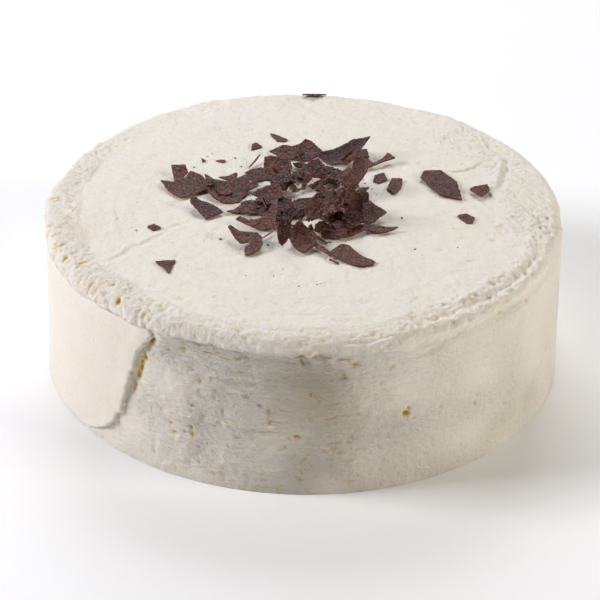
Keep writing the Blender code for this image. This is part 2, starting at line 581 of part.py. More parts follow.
def middle_of(corners):
    """The middle of the box round some corners."""
    return [0.5 * (min(values) + max(values)) for values in zip(*corners)]


def flat_outline(row):
    """The outline of the plate as it lies flat before it is turned, in metres."""
    if isinstance(row, Chip):
        return [(x * row.size[0] * MM, y * row.size[1] * MM) for x, y in SHARD_FORMS[row.form]]
    turn = turn_of(row)
    up = Vector((0.0, math.sin(SEEN_FROM), math.cos(SEEN_FROM)))
    along, across = turn.col[0], turn.col[1]
    shown = Matrix(((along.x, across.x), (along.dot(up), across.dot(up)))).inverted()
    middle = Vector(middle_of(row.corners))
    return [tuple(shown @ (Vector(corner) - middle) * MM) for corner in row.corners]


def place_of(row, rise):
    """Where the middle of a plate is over the cake when it is this far above its top."""
    if isinstance(row, Chip):
        return Vector((row.place[0] * MM, row.place[1] * MM, 0.0))
    right, up = (value * MM for value in middle_of(row.corners))
    return Vector((right, (up - rise * math.cos(SEEN_FROM)) / math.sin(SEEN_FROM), 0.0))


def shard(name, row, thick, collection):
    """A flat plate of the shard's outline, cut where it bends, bent and turned, with its middle at the origin."""
    outline = flat_outline(row)
    spans = [max(values) - min(values) for values in zip(*outline)]
    bm = bmesh.new()
    face = bm.faces.new([bm.verts.new((x, y, -0.5 * thick)) for x, y in outline])
    raised = bmesh.ops.extrude_face_region(bm, geom=[face])
    top = [item for item in raised["geom"] if isinstance(item, bmesh.types.BMVert)]
    bmesh.ops.translate(bm, verts=top, vec=(0, 0, thick))
    for axis, (side, bend) in enumerate(zip(spans, row.bends)):
        for cut in bend_cuts(bend):
            place, normal = Vector((0, 0, 0)), Vector((0, 0, 0))
            place[axis] = cut * side
            normal[axis] = 1.0
            everything = bm.verts[:] + bm.edges[:] + bm.faces[:]
            bmesh.ops.bisect_plane(bm, geom=everything, dist=CUT_SLACK, plane_co=place, plane_no=normal)
    for vert in bm.verts:
        along = bent(vert.co.copy(), spans[0], math.radians(row.bends[0]), 0)
        vert.co = bent(along, spans[1], math.radians(row.bends[1]), 1)
    bmesh.ops.triangulate(bm, faces=bm.faces[:])
    bmesh.ops.recalc_face_normals(bm, faces=bm.faces[:])
    plate = object_from(name, bm, collection)
    plate.data.transform(turn_of(row).to_4x4())
    return plate


def tree_of(meshes):
    """The faces of all the meshes, ready for rays."""
    points, faces = [], []
    for mesh in meshes:
        first = len(points)
        points += [vert.co.copy() for vert in mesh.vertices]
        faces += [[first + index for index in face.vertices] for face in mesh.polygons]
    return points, BVHTree.FromPolygons(points, faces)


def clearance(plate, grounds):
    """How far the plate can be lowered before it meets one of the meshes under it."""
    under, over = Vector((0, 0, -1)), Vector((0, 0, 1))
    ground_points, ground_tree = tree_of(grounds)
    plate_points, plate_tree = tree_of([plate.data])
    clear = [1.0]
    for point in plate_points:
        hit = ground_tree.ray_cast(point + over, under)[0]
        if hit:
            clear.append(point.z - hit.z)
    middle = sum(plate_points, Vector()) / len(plate_points)
    reach = max((point - middle).xy.length for point in plate_points)
    for point in ground_points:
        hit = plate_tree.ray_cast(point - over, over)[0] if (point - middle).xy.length < reach else None
        if hit:
            clear.append(hit.z - point.z)
    return min(clear)


def laid_shard(name, row, cake, collection, thick=SHARD_THICK, heap=(), sunk=0.0):
    """A shard made and set down, a gap above the cake or pressed a little into the heap."""
    plate = shard(name, row, thick, collection)
    at = Vector((0.0, 0.0, 0.0))
    rise = FIRST_RISE
    for _ in range(PLACE_ROUNDS):
        over = place_of(row, rise)
        over.z = at.z
        plate.data.transform(Matrix.Translation(over - at))
        drop = clearance(plate, [cake.data]) - GAP
        if heap:
            drop = min(drop, clearance(plate, heap) + HEAP_BITE)
        at = over - Vector((0.0, 0.0, drop))
        plate.data.transform(Matrix.Translation(at - over))
        rise = at.z - CAKE_HEIGHT
    plate.data.transform(Matrix.Translation((0.0, 0.0, -sunk)))
    if heap:
        inwards = Vector((*CORE_CENTRE, 0.0)) - Vector((at.x, at.y, 0.0))
        push_in(plate, heap, inwards.normalized())
    return plate


def push_in(plate, heap, inwards):
    """Pushes a plate that lies beside the heap inwards until it is well into it."""
    heap_tree = tree_of(heap)[1]
    while not tree_of([plate.data])[1].overlap(heap_tree):
        plate.data.transform(Matrix.Translation(inwards * HEAP_NUDGE))
    plate.data.transform(Matrix.Translation(inwards * HEAP_NUDGE))


def heap_core():
    """The low mound of crumbs and hidden shards that the heap's shards stand on."""
    rng = random.Random(HEAP_SEED)
    bm = bmesh.new()
    rings = []
    for share, height in CORE_RINGS:
        ring = []
        for x, y in CORE_OUTLINE:
            uneven = rng.uniform(*CORE_UNEVEN) if height else 1.0
            place_x = CORE_CENTRE[0] + (x * MM - CORE_CENTRE[0]) * share
            place_y = CORE_CENTRE[1] + (y * MM - CORE_CENTRE[1]) * share
            ring.append(bm.verts.new((place_x, place_y, CAKE_HEIGHT + GAP + height * uneven)))
        rings.append(ring)
    for lower, upper in zip(rings, rings[1:]):
        for a, b, c, d in zip(lower, lower[1:] + lower[:1], upper[1:] + upper[:1], upper):
            bm.faces.new((a, b, c, d))
    bm.faces.new(rings[0])
    bm.faces.new(rings[-1])
    bmesh.ops.triangulate(bm, faces=bm.faces[:])
    bmesh.ops.recalc_face_normals(bm, faces=bm.faces[:])
    return object_from("chocolate_heap", bm)


def fused(body, collection):
    """Joins everything in the collection to the body by one union, and removes the collection's objects."""
    union = body.modifiers.new("union", "BOOLEAN")
    union.operation = "UNION"
    union.operand_type = "COLLECTION"
    union.collection = collection
    union.solver = "EXACT"
    union.use_self = True
    graph = bpy.context.evaluated_depsgraph_get()
    whole = bpy.data.meshes.new_from_object(body.evaluated_get(graph))
    body.modifiers.remove(union)
    body.data = whole
    for other in list(collection.objects):
        bpy.data.objects.remove(other)
    bpy.data.collections.remove(collection)
    keep_outer_skin(body)
    return body


def keep_outer_skin(body):
    """Drops loose scraps and the skins of sealed hollows, so that one closed skin is left."""
    bm = bmesh.new()
    bm.from_mesh(body.data)
    bmesh.ops.triangulate(bm, faces=bm.faces[:])
    left = set(bm.faces)
    skins = []
    while left:
        skin, edge_on = set(), [left.pop()]
        while edge_on:
            face = edge_on.pop()
            skin.add(face)
            for near in (other for edge in face.edges for other in edge.link_faces if other in left):
                left.discard(near)
                edge_on.append(near)
        volume = sum(f.verts[0].co.dot(f.verts[1].co.cross(f.verts[2].co)) for f in skin)
        skins.append((volume, len(skins), skin))
    skins.sort(reverse=True)
    extra = [face for _, _, skin in skins[1:] for face in skin]
    bmesh.ops.delete(bm, geom=extra, context="FACES")
    bm.to_mesh(body.data)
    bm.free()


def new_collection(name):
    """A collection in the scene for pieces that a union takes."""
    collection = bpy.data.collections.new(name)
    bpy.context.scene.collection.children.link(collection)
    return collection


def make_cake():
    """The frosted cake, with its smear, its beads of cream and the small flakes fused to it."""
    body = cake_body()
    pieces = new_collection("cake_pieces")
    for number, flake in enumerate(SMALL_FLAKES):
        laid_shard(f"flake_{number}", flake, body, pieces, FLAKE_THICK, sunk=GAP + FLAKE_SUNK)
    smear(pieces)
    for name, (thickness, path) in BEAD_PATHS.items():
        cream_bead(name, thickness, path, pieces)
    return fused(body, pieces)


def fill_shard(rng):
    """One of the smaller shards under those that show."""
    turn = rng.uniform(0.0, math.tau)
    reach = math.sqrt(rng.uniform(*HEAP_FILL_REACH))
    x = HEAP_FILL_CENTRE[0] + HEAP_FILL_SPREAD[0] * reach * math.cos(turn)
    y = HEAP_FILL_CENTRE[1] + HEAP_FILL_SPREAD[1] * reach * math.sin(turn)
    return Chip(
        rng.choice(HEAP_FILL_FORMS),
        (x / MM, y / MM),
        (rng.uniform(*HEAP_FILL_LENGTH), rng.uniform(*HEAP_FILL_WIDTH)),
        heading=rng.uniform(0.0, 180.0),
        pitch=rng.uniform(*HEAP_FILL_PITCH),
        roll=rng.uniform(*HEAP_FILL_ROLL),
    )


def make_heap(cake):
    """The heap: its core, smaller shards on that and the shards that show, fused to one body."""
    core = heap_core()
    pieces = new_collection("heap_pieces")
    rng = random.Random(HEAP_SEED)
    rows = [(f"fill_{number}", fill_shard(rng)) for number in range(HEAP_FILL)]
    heap = [core.data]
    for name, row in rows + list(HEAP_SHARDS.items()):
        heap.append(laid_shard(name, row, cake, pieces, heap=heap).data)
    return fused(core, pieces)


def main():
    """Clears the scene and builds every piece."""
    for old in list(bpy.data.objects):
        bpy.data.objects.remove(old)
    cake = make_cake()
    chocolate = [make_heap(cake)]
    for name, row in [*LONE_SHARDS.items(), ("shard_back_rim", BACK_RIM_SHARD)]:
        chocolate.append(laid_shard(name, row, cake, bpy.context.scene.collection))
    cake.data.shade_smooth()
    cake.data.set_sharp_from_angle(angle=math.radians(CREASE_ANGLE))
    cake.data.materials.append(finish_material("whipped_cream", CREAM_COLOUR, CREAM_ROUGHNESS))
    for piece in chocolate:
        piece.data.materials.clear()
        piece.data.materials.append(finish_material(f"{piece.name}_chocolate", CHOCOLATE_COLOUR, CHOCOLATE_ROUGHNESS))


main()
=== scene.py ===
"""Looks of the frosted cake: whipped cream with the spatula's marks, and chocolate shards strewn over it.

Everything is in metres in the CAD's frame, +Z up, with the origin in the middle of the cake's foot, +X to the
right and +Y to the back. Azimuths are in degrees from +X towards +Y, so the front is at -90. A place on the
frosting is an azimuth and a run: the way in mm along the skin from the middle of the top, over the shoulder
and down the wall.
"""

import itertools
import logging
import math
import random
from dataclasses import dataclass, field
from enum import Enum
from typing import NamedTuple

import bpy
import numpy as np
from mathutils import Euler, Matrix, Vector
from mathutils.bvhtree import BVHTree


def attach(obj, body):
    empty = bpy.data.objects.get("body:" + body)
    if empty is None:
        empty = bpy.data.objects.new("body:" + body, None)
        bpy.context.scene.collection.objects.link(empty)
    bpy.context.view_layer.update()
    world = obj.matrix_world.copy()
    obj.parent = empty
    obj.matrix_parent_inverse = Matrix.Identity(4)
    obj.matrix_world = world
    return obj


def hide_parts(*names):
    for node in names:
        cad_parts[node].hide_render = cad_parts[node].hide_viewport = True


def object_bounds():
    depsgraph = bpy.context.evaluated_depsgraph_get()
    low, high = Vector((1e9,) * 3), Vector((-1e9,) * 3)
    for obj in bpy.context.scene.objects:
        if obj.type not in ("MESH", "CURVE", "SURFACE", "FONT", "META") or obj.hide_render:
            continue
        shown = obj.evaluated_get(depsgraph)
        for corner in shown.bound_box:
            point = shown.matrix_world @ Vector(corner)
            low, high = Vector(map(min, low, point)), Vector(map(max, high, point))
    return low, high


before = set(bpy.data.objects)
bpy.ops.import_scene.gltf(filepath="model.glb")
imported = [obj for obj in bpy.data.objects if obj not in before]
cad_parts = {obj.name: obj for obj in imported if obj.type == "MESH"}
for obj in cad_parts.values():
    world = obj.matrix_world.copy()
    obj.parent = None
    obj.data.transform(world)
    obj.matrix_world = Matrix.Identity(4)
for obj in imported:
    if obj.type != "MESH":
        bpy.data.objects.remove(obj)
CAD_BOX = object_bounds()

MM = 0.001
ROOT = "root"
BOX_MARGIN = 0.01 * MM  # how far the cream stays inside the CAD's box
SKIN_RADIUS_MM = 118.0  # the radius at which noise is drawn round the cake
MIX_A, MIX_B, MIX_RESULT = 6, 7, 2  # sockets of the Mix node for colours
log = logging.getLogger("frosted_cake")


# Noise and small sums


def smooth_step(value: np.ndarray, low: float, high: float) -> np.ndarray:
    """0 at low, 1 at high, with a soft start and end."""
    t = np.clip((value - low) / (high - low), 0.0, 1.0)
    return t * t * (3.0 - 2.0 * t)


def hump(value: np.ndarray, middle: float, half_width: float) -> np.ndarray:
    """A bell curve, 1 at the middle."""
    across = (value - middle) / half_width
    return np.exp(-across * across)


def span(value: np.ndarray, limits: tuple[float, float], fade: float) -> np.ndarray:
    """1 between two limits, fading to 0 at both."""
    low, high = limits
    return smooth_step(value, low, low + fade) * (1.0 - smooth_step(value, high - fade, high))


def ridged(noise: np.ndarray) -> np.ndarray:
    """Noise folded to sharp ridges where it crosses 0."""
    return 1.0 - 2.0 * np.abs(noise)


def lattice_noise(points: np.ndarray, size: float, seed: int) -> np.ndarray:
    """Smooth noise at each of the points.

    Args:
        points: places, one row of three each.
        size: how far apart the lumps are, in the points' own unit.
        seed: which noise it is.

    Returns:
        One value from -1 to 1 for each point.
    """
    scaled = points / size
    cell = np.floor(scaled).astype(np.int64)
    part = scaled - cell
    ease = part * part * (3.0 - 2.0 * part)
    total = np.zeros(len(points))
    for corner in itertools.product((0, 1), repeat=3):
        at = cell + np.array(corner)
        mixed = (at[:, 0] * 73856093) ^ (at[:, 1] * 19349663) ^ (at[:, 2] * 83492791) ^ (seed * 2654435761)
        mixed = ((mixed & 0xFFFFFFFF) * 1103515245 + 12345) & 0x7FFFFFFF
        mixed = ((mixed >> 7) ^ mixed) * 48271 % 0x7FFFFFFF
        height = (mixed % 20001) / 10000.0 - 1.0
        share = np.where(corner, ease, 1.0 - ease).prod(axis=1)
        total += share * height
    return total


def layered_noise(points: np.ndarray, size: float, seed: int, layers: int = 3) -> np.ndarray:
    """Noise with finer noise on it, each layer half as large and half as strong as the last.

    Args:
        points: places, one row of three each.
        size: how far apart the largest lumps are, in the points' own unit.
        seed: which noise it is.
        layers: how many layers it has.

    Returns:
        One value for each point.
    """
    total = np.zeros(len(points))
    for layer in range(layers):
        total += lattice_noise(points, size * 0.5**layer, seed + 17 * layer) * 0.5**layer
    return total


def way_to_path(points: np.ndarray, path: np.ndarray) -> np.ndarray:
    """How far points are from a path.

    Args:
        points: places, one row each.
        path: the corners of a path of straight pieces, one row each.

    Returns:
        The shortest way from each point to the path.
    """
    nearest = np.full(len(points), 1.0)
    for start, end in zip(path, path[1:]):
        step = end - start
        share = np.clip((points - start) @ step / (step @ step), 0.0, 1.0)
        nearest = np.minimum(nearest, np.linalg.norm(points - start - share[:, None] * step, axis=1))
    return nearest


def inside_box(points: np.ndarray) -> np.ndarray:
    """The points, kept a little inside the CAD's box."""
    low, high = (np.array(corner) for corner in CAD_BOX)
    return np.clip(points, low + BOX_MARGIN, high - BOX_MARGIN)


# Materials


def linear(hex_colour: str) -> tuple[float, float, float, float]:
    """An sRGB hex colour as the linear colour that a shader takes.

    Args:
        hex_colour: the colour, as #RRGGBB.

    Returns:
        Red, green, blue and 1.
    """
    parts = [int(hex_colour[i : i + 2], 16) / 255.0 for i in (1, 3, 5)]
    red, green, blue = [p / 12.92 if p <= 0.04045 else ((p + 0.055) / 1.055) ** 2.4 for p in parts]
    return (red, green, blue, 1.0)


def add_node(
    tree: bpy.types.NodeTree,
    kind: str,
    inputs: dict | None = None,
    links: dict | None = None,
    **settings: object,
) -> bpy.types.Node:
    """Adds a node to a material.

    Args:
        tree: the material's node tree.
        kind: the node's type.
        inputs: values for its sockets, by name or number.
        links: sockets that feed its own, by name or number.
        settings: the node's own properties.

    Returns:
        The new node.
    """
    node = tree.nodes.new(kind)
    for key, value in settings.items():
        setattr(node, key, value)
    for key, value in (inputs or {}).items():
        node.inputs[key].default_value = value
    for key, socket in (links or {}).items():
        tree.links.new(socket, node.inputs[key])
    return node


def scale_for(size_mm: float) -> float:
    """The scale of a noise texture whose lumps are this many mm apart, on coordinates in metres."""
    return 1.0 / (size_mm * MM)


def blank_material(name: str, shine: dict[str, object]) -> tuple[bpy.types.Material, bpy.types.Node]:
    """A new material with its plain shader.

    Args:
        name: the material's name.
        shine: values for the shader's sockets, by name.

    Returns:
        The material and its shader.
    """
    made = bpy.data.materials.new(name)
    made.use_nodes = True
    shader = made.node_tree.nodes["Principled BSDF"]
    for key, value in shine.items():
        shader.inputs[key].default_value = value
    return made, shader


class Noise(NamedTuple):
    """The pattern of a noise texture: how many mm apart its lumps are, its layers, and how rough they are."""

    size_mm: float
    detail: float
    rough: float = 0.5


class Share(NamedTuple):
    """How much of a layer shows: none at the start, the most at the end, by the value that drives it."""

    start: float
    end: float
    most: float = 1.0


class Relief(NamedTuple):
    """A relief in the shader: its strength, and its depth in mm."""

    strength: float
    depth_mm: float


@dataclass(frozen=True)
class WhippedCream:
    """Whipped buttercream: matt, soft and slightly see-through, with painted yellow shade in its torn
    hollows.
    """

    cream: str = "#EEE9DF"
    warm: str = "#E9E1D2"
    # painted shade colours: yellow and deep ochre where light comes through the cream into the hollows,
    # grey-beige on the front of the wall, pale ochre in the lows of the crumbly relief
    painted_yellow_shade: str = "#E3BC40"
    deep: str = "#AC7F22"
    wear_and_painted_shade: str = "#C2B79F"
    pitted: str = "#D8C791"
    blotch: Noise = Noise(22.0, 3.0)
    crumble: Noise = Noise(2.6, 5.0, 0.6)
    dragged: Noise = Noise(5.0, 5.0, 0.62)
    grain: Noise = Noise(1.1, 3.0)
    pores: Noise = Noise(3.2, 2.0)
    drag_stretch: float = 4.5
    in_lows: Share = Share(0.43, 0.3, 0.85)
    in_painted_yellow_shade: Share = Share(0.15, 0.75)
    in_deep: Share = Share(0.8, 1.6, 0.8)
    in_pores: Share = Share(0.26, 0.38)
    pore_relief: Relief = Relief(0.5, 0.35)
    crumble_relief: Relief = Relief(0.85, 2.1)
    drag_relief: Relief = Relief(0.85, 2.0)
    grain_relief: Relief = Relief(0.6, 0.2)
    roughness: float = 0.56
    ior: float = 1.46
    specular: float = 0.35
    see_through: float = 0.22
    see_through_colour: tuple[float, float, float] = (1.0, 0.75, 0.45)
    see_through_mm: float = 2.2

    def material(self) -> bpy.types.Material:
        """Makes the finish.

        Returns:
            The material, which reads the frosting's attributes for the painted shade of its hollows and its
            wall, and for its rough places.
        """
        shine = {
            "Roughness": self.roughness, "IOR": self.ior, "Specular IOR Level": self.specular,
            "Subsurface Weight": self.see_through, "Subsurface Radius": self.see_through_colour,
            "Subsurface Scale": self.see_through_mm * MM,
        }  # fmt: skip
        made, shader = blank_material("whipped_cream", shine)
        tree = made.node_tree
        place = add_node(tree, "ShaderNodeTexCoord").outputs["Object"]
        stretch = {"Scale": (1.0, 1.0, self.drag_stretch)}
        level = add_node(tree, "ShaderNodeMapping", stretch, {"Vector": place}).outputs["Vector"]
        values = {}
        for name in ("hollow", "wear_and_painted_shade", "rough", "drag"):
            values[name] = add_node(tree, "ShaderNodeAttribute", attribute_name=name).outputs["Fac"]
        for name in ("blotch", "crumble", "dragged", "grain", "pores"):
            noise = getattr(self, name)
            pattern = {"Scale": scale_for(noise.size_mm), "Detail": noise.detail, "Roughness": noise.rough}
            along = {"Vector": level if name == "dragged" else place}
            values[name] = add_node(tree, "ShaderNodeTexNoise", pattern, along).outputs["Fac"]
        for name, driver in (
            ("in_lows", "crumble"), ("in_painted_yellow_shade", "hollow"), ("in_deep", "hollow"), ("in_pores", "pores"),
        ):  # fmt: skip
            share = getattr(self, name)
            limits = {"From Min": share.start, "From Max": share.end, "To Max": share.most}
            mapped = add_node(tree, "ShaderNodeMapRange", limits, {"Value": values[driver]}, clamp=True)
            values[name] = mapped.outputs["Result"]
        # in_pits is painted shade: the lows of the crumbly relief are tinted pale ochre
        for name, first, second, kept in (
            ("in_pits", "in_lows", "rough", True),
            ("crumbled", "crumble", "rough", False),
            ("streaked", "dragged", "drag", False),
        ):
            factors = {0: values[first], 1: values[second]}
            product = add_node(tree, "ShaderNodeMath", None, factors, operation="MULTIPLY", use_clamp=kept)
            values[name] = product.outputs["Value"]
        colours = {MIX_A: linear(self.cream), MIX_B: linear(self.warm)}
        colour = add_node(tree, "ShaderNodeMix", colours, {0: values["blotch"]}, data_type="RGBA")
        # painted shade, mixed over the cream: the front of the wall darkened, the lows of the crumbly relief
        # pale ochre, the hollows yellow and deep ochre
        for name, over in (
            ("wear_and_painted_shade", self.wear_and_painted_shade), ("in_pits", self.pitted), ("in_painted_yellow_shade", self.painted_yellow_shade), ("in_deep", self.deep),
        ):  # fmt: skip
            mixed = {0: values[name], MIX_A: colour.outputs[MIX_RESULT]}
            colour = add_node(tree, "ShaderNodeMix", {MIX_B: linear(over)}, mixed, data_type="RGBA")
        normal = {}
        for name, relief in (
            ("in_pores", self.pore_relief), ("crumbled", self.crumble_relief),
            ("streaked", self.drag_relief), ("grain", self.grain_relief),
        ):  # fmt: skip
            depth = {"Strength": relief.strength, "Distance": relief.depth_mm * MM}
            bump = add_node(tree, "ShaderNodeBump", depth, {"Height": values[name], **normal})
            normal = {"Normal": bump.outputs["Normal"]}
        tree.links.new(colour.outputs[MIX_RESULT], shader.inputs["Base Color"])
        tree.links.new(normal["Normal"], shader.inputs["Normal"])
        return made


@dataclass(frozen=True)
class ShavedChocolate:
    """Dark chocolate broken from a thin slab: grainy, half matt, paler and redder along its broken edges."""

    face: str = "#562E20"
    dull: str = "#7A4836"
    # dark is the darker tone of some shards and also painted shade in the lows of the grain; glint is a
    # painted highlight on the grain's highs
    dark: str = "#1B0904"
    glint: str = "#A67B6A"
    edge: str = "#8A4D37"
    grain: Noise = Noise(1.0, 3.0)
    cloud: Noise = Noise(7.0, 4.0)
    tone_shift: float = -0.35
    in_dark: Share = Share(0.12, -0.5, 0.85)
    in_grain: Share = Share(0.53, 0.38, 0.8)
    on_grain: Share = Share(0.57, 0.72, 0.4)
    on_edge: Share = Share(0.3, 1.0, 0.38)
    relief: Relief = Relief(0.95, 0.9)
    roughness: float = 0.27
    ior: float = 1.49
    specular: float = 0.32

    def material(self) -> bpy.types.Material:
        """Makes the finish.

        Returns:
            The material, which reads the shards' attributes for their tone and their broken edges.
        """
        shine = {"Roughness": self.roughness, "IOR": self.ior, "Specular IOR Level": self.specular}
        made, shader = blank_material("shaved_dark_chocolate", shine)
        tree = made.node_tree
        place = add_node(tree, "ShaderNodeTexCoord").outputs["Object"]
        values = {}
        for name in ("tone", "edge"):
            values[name] = add_node(tree, "ShaderNodeAttribute", attribute_name=name).outputs["Fac"]
        for name in ("grain", "cloud"):
            noise = getattr(self, name)
            pattern = {"Scale": scale_for(noise.size_mm), "Detail": noise.detail, "Roughness": noise.rough}
            values[name] = add_node(tree, "ShaderNodeTexNoise", pattern, {"Vector": place}).outputs["Fac"]
        shift = {1: self.tone_shift}
        shifted = add_node(tree, "ShaderNodeMath", shift, {0: values["cloud"]}, operation="ADD")
        terms = {0: shifted.outputs["Value"], 1: values["tone"]}
        values["toned"] = add_node(tree, "ShaderNodeMath", None, terms, operation="ADD").outputs["Value"]
        colours = {MIX_A: linear(self.face), MIX_B: linear(self.dull)}
        colour = add_node(tree, "ShaderNodeMix", colours, {0: values["toned"]}, data_type="RGBA")
        # the grain's lows take painted shade and its highs painted highlights
        for share, driver, over in (
            (self.in_dark, "toned", self.dark), (self.in_grain, "grain", self.dark),
            (self.on_grain, "grain", self.glint), (self.on_edge, "edge", self.edge),
        ):  # fmt: skip
            limits = {"From Min": share.start, "From Max": share.end, "To Max": share.most}
            mapped = add_node(tree, "ShaderNodeMapRange", limits, {"Value": values[driver]}, clamp=True)
            mixed = {0: mapped.outputs["Result"], MIX_A: colour.outputs[MIX_RESULT]}
            colour = add_node(tree, "ShaderNodeMix", {MIX_B: linear(over)}, mixed, data_type="RGBA")
        depth = {"Strength": self.relief.strength, "Distance": self.relief.depth_mm * MM}
        grained = add_node(tree, "ShaderNodeBump", depth, {"Height": values["grain"]})
        tree.links.new(colour.outputs[MIX_RESULT], shader.inputs["Base Color"])
        tree.links.new(grained.outputs["Normal"], shader.inputs["Normal"])
        return made


@dataclass(frozen=True)
class StudioPaper:
    """Seamless white paper for the floor: matt and even."""

    white: str = "#FFFFFF"
    roughness: float = 0.9

    def material(self) -> bpy.types.Material:
        """Makes the floor's finish."""
        shine = {"Base Color": linear(self.white), "Roughness": self.roughness}
        return blank_material("studio_paper", shine)[0]


# Meshes


def deselect() -> None:
    """Leaves nothing selected."""
    bpy.ops.object.select_all(action="DESELECT")


def select_only(made: bpy.types.Object) -> None:
    """Selects one object and makes it the active one.

    Args:
        made: the object.
    """
    deselect()
    made.select_set(True)
    bpy.context.view_layer.objects.active = made


def face_outwards(merged_within: float = 0.0) -> None:
    """Turns all faces of the active mesh outwards.

    Args:
        merged_within: points that are closer than this are merged first.
    """
    bpy.ops.object.mode_set(mode="EDIT")
    bpy.ops.mesh.select_all(action="SELECT")
    if merged_within:
        bpy.ops.mesh.remove_doubles(threshold=merged_within)
    bpy.ops.mesh.normals_make_consistent(inside=False)
    bpy.ops.object.mode_set(mode="OBJECT")


def coordinates(made: bpy.types.Object) -> np.ndarray:
    """Where each vertex of a mesh object lies.

    Args:
        made: the object.

    Returns:
        One row for each vertex.
    """
    flat = np.empty(len(made.data.vertices) * 3)
    made.data.vertices.foreach_get("co", flat)
    return flat.reshape(-1, 3)


def place_vertices(made: bpy.types.Object, points: np.ndarray) -> None:
    """Moves each vertex of a mesh object to its point."""
    made.data.vertices.foreach_set("co", np.ascontiguousarray(points, np.float64).ravel())
    made.data.update()


def set_attribute(made: bpy.types.Object, name: str, values: np.ndarray) -> None:
    """Writes one value for each vertex, for a material to read."""
    layer = made.data.attributes.get(name) or made.data.attributes.new(name, "FLOAT", "POINT")
    layer.data.foreach_set("value", np.ascontiguousarray(values, np.float32))


def joined(name: str, pieces: list[bpy.types.Object]) -> bpy.types.Object:
    """Joins several mesh objects to one.

    Args:
        name: the name of the whole.
        pieces: the objects.

    Returns:
        The whole.
    """
    deselect()
    for piece in pieces:
        piece.select_set(True)
    bpy.context.view_layer.objects.active = pieces[0]
    bpy.ops.object.join()
    made = bpy.context.view_layer.objects.active
    made.name = name
    made.data.name = name
    return made


def finished(made: bpy.types.Object, material: bpy.types.Material, node: str) -> bpy.types.Object:
    """Gives a piece its finish and its place in the frame.

    Args:
        made: the piece.
        material: its finish.
        node: the CAD node that it stands for.

    Returns:
        The same piece.
    """
    made.data.materials.clear()
    made.data.materials.append(material)
    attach(made, ROOT)
    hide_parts(node)
    log.info("%s: %d faces for node %s", made.name, len(made.data.polygons), node)
    return made


# The frosting


@dataclass(frozen=True)
class CakeForm:
    """The plain turned body of the cake, before the spatula's marks."""

    foot_radius: float = 118.8 * MM
    shoulder_radius: float = 117.4 * MM
    height: float = 76.2 * MM
    shoulder_round: float = 5.5 * MM

    @property
    def crown_radius(self) -> float:
        """The radius of the level top."""
        return self.shoulder_radius - self.shoulder_round

    @property
    def wall_top(self) -> float:
        """The height at which the wall starts to round into the shoulder."""
        return self.height - self.shoulder_round

    @property
    def wall_run(self) -> float:
        """The run at which the wall starts."""
        return self.crown_radius + self.shoulder_round * math.pi / 2.0

    @property
    def foot_run(self) -> float:
        """The run at the foot."""
        return self.wall_run + self.wall_top

    def wall_radius(self, z: float) -> float:
        """The plain wall's radius at a height."""
        return self.foot_radius + (self.shoulder_radius - self.foot_radius) * z / self.wall_top

    def outline(self, run: float) -> tuple[float, float]:
        """The radius and height of the body's outline.

        Args:
            run: the way along the skin from the middle of the top.

        Returns:
            Radius and height in metres.
        """
        if run <= self.crown_radius:
            return run, self.height
        if run < self.wall_run:
            turn = (run - self.crown_radius) / self.shoulder_round
            radius = self.crown_radius + self.shoulder_round * math.sin(turn)
            return radius, self.wall_top + self.shoulder_round * math.cos(turn)
        z = max(0.0, self.wall_top - (run - self.wall_run))
        return self.wall_radius(z), z

    def place(self, azimuth: float, run_mm: float) -> Vector:
        """The point of the plain skin at an azimuth and a run in mm.

        Args:
            azimuth: in degrees.
            run_mm: the way along the skin from the middle of the top.

        Returns:
            The point.
        """
        radius, z = self.outline(run_mm * MM)
        turn = math.radians(azimuth)
        return Vector((radius * math.cos(turn), radius * math.sin(turn), z))


class Skin:
    """Places on the plain skin, each with its azimuth, its run and the way the skin faces there."""

    def __init__(self, form: CakeForm, points: np.ndarray) -> None:
        """Measures the points.

        Args:
            form: the plain body.
            points: places on its skin, one row each.
        """
        self.form = form
        self.points = points
        x, y, z = points.T
        self.z = z
        self.r = np.hypot(x, y)
        turn = np.degrees(np.arctan2(y, x))
        self.azimuth = np.where(turn > 90.0, turn - 360.0, turn)
        out_r = np.maximum(self.r - form.crown_radius, 0.0)
        out_z = np.maximum(z - form.wall_top, 0.0)
        length = np.maximum(np.hypot(out_r, out_z), 1e-9)
        self.normal_r = out_r / length
        self.normal_z = np.where(length > 1e-8, out_z / length, 1.0)
        turned = form.shoulder_round * np.arctan2(out_r, np.maximum(out_z, 0.0))
        quarter = form.shoulder_round * math.pi / 2.0
        run = np.minimum(self.r, form.crown_radius) + np.minimum(turned, quarter)
        self.run_mm = (run + np.maximum(form.wall_top - z, 0.0)) / MM

    def drawn_noise(self, along: float, across: float, seed: int, lean: float = 0.0) -> np.ndarray:
        """Noise drawn out like a spatula's strokes.

        Args:
            along: how far apart the lumps are round the cake, in mm.
            across: how far apart they are along the run, in mm.
            seed: which noise it is.
            lean: by how many degrees a stroke turns round the cake for each mm of its run.

        Returns:
            One value from -1 to 1 for each place.
        """
        turn = np.radians(self.azimuth + lean * (self.run_mm - SKIN_RADIUS_MM))
        radius = SKIN_RADIUS_MM / along
        wrapped = np.column_stack([radius * np.cos(turn), radius * np.sin(turn), self.run_mm / across])
        return lattice_noise(wrapped, 1.0, seed)


class Stroke(NamedTuple):
    """A ridge or a cut that the spatula left: its path in azimuth and run (mm), and its section in mm."""

    path: tuple[tuple[float, float], ...]
    half_width: float
    height: float
    # how much painted yellow shade the stroke gets
    hollow: float = 0.0
    flat: bool = False  # the path is in mm of X and Y on the top instead


class Dab(NamedTuple):
    """A blob or a pit: azimuth, run (mm), half sizes round the cake and along the run, and height in mm."""

    azimuth: float
    run: float
    along: float
    across: float
    height: float
    # how much painted yellow shade the dab gets
    hollow: float = 0.0


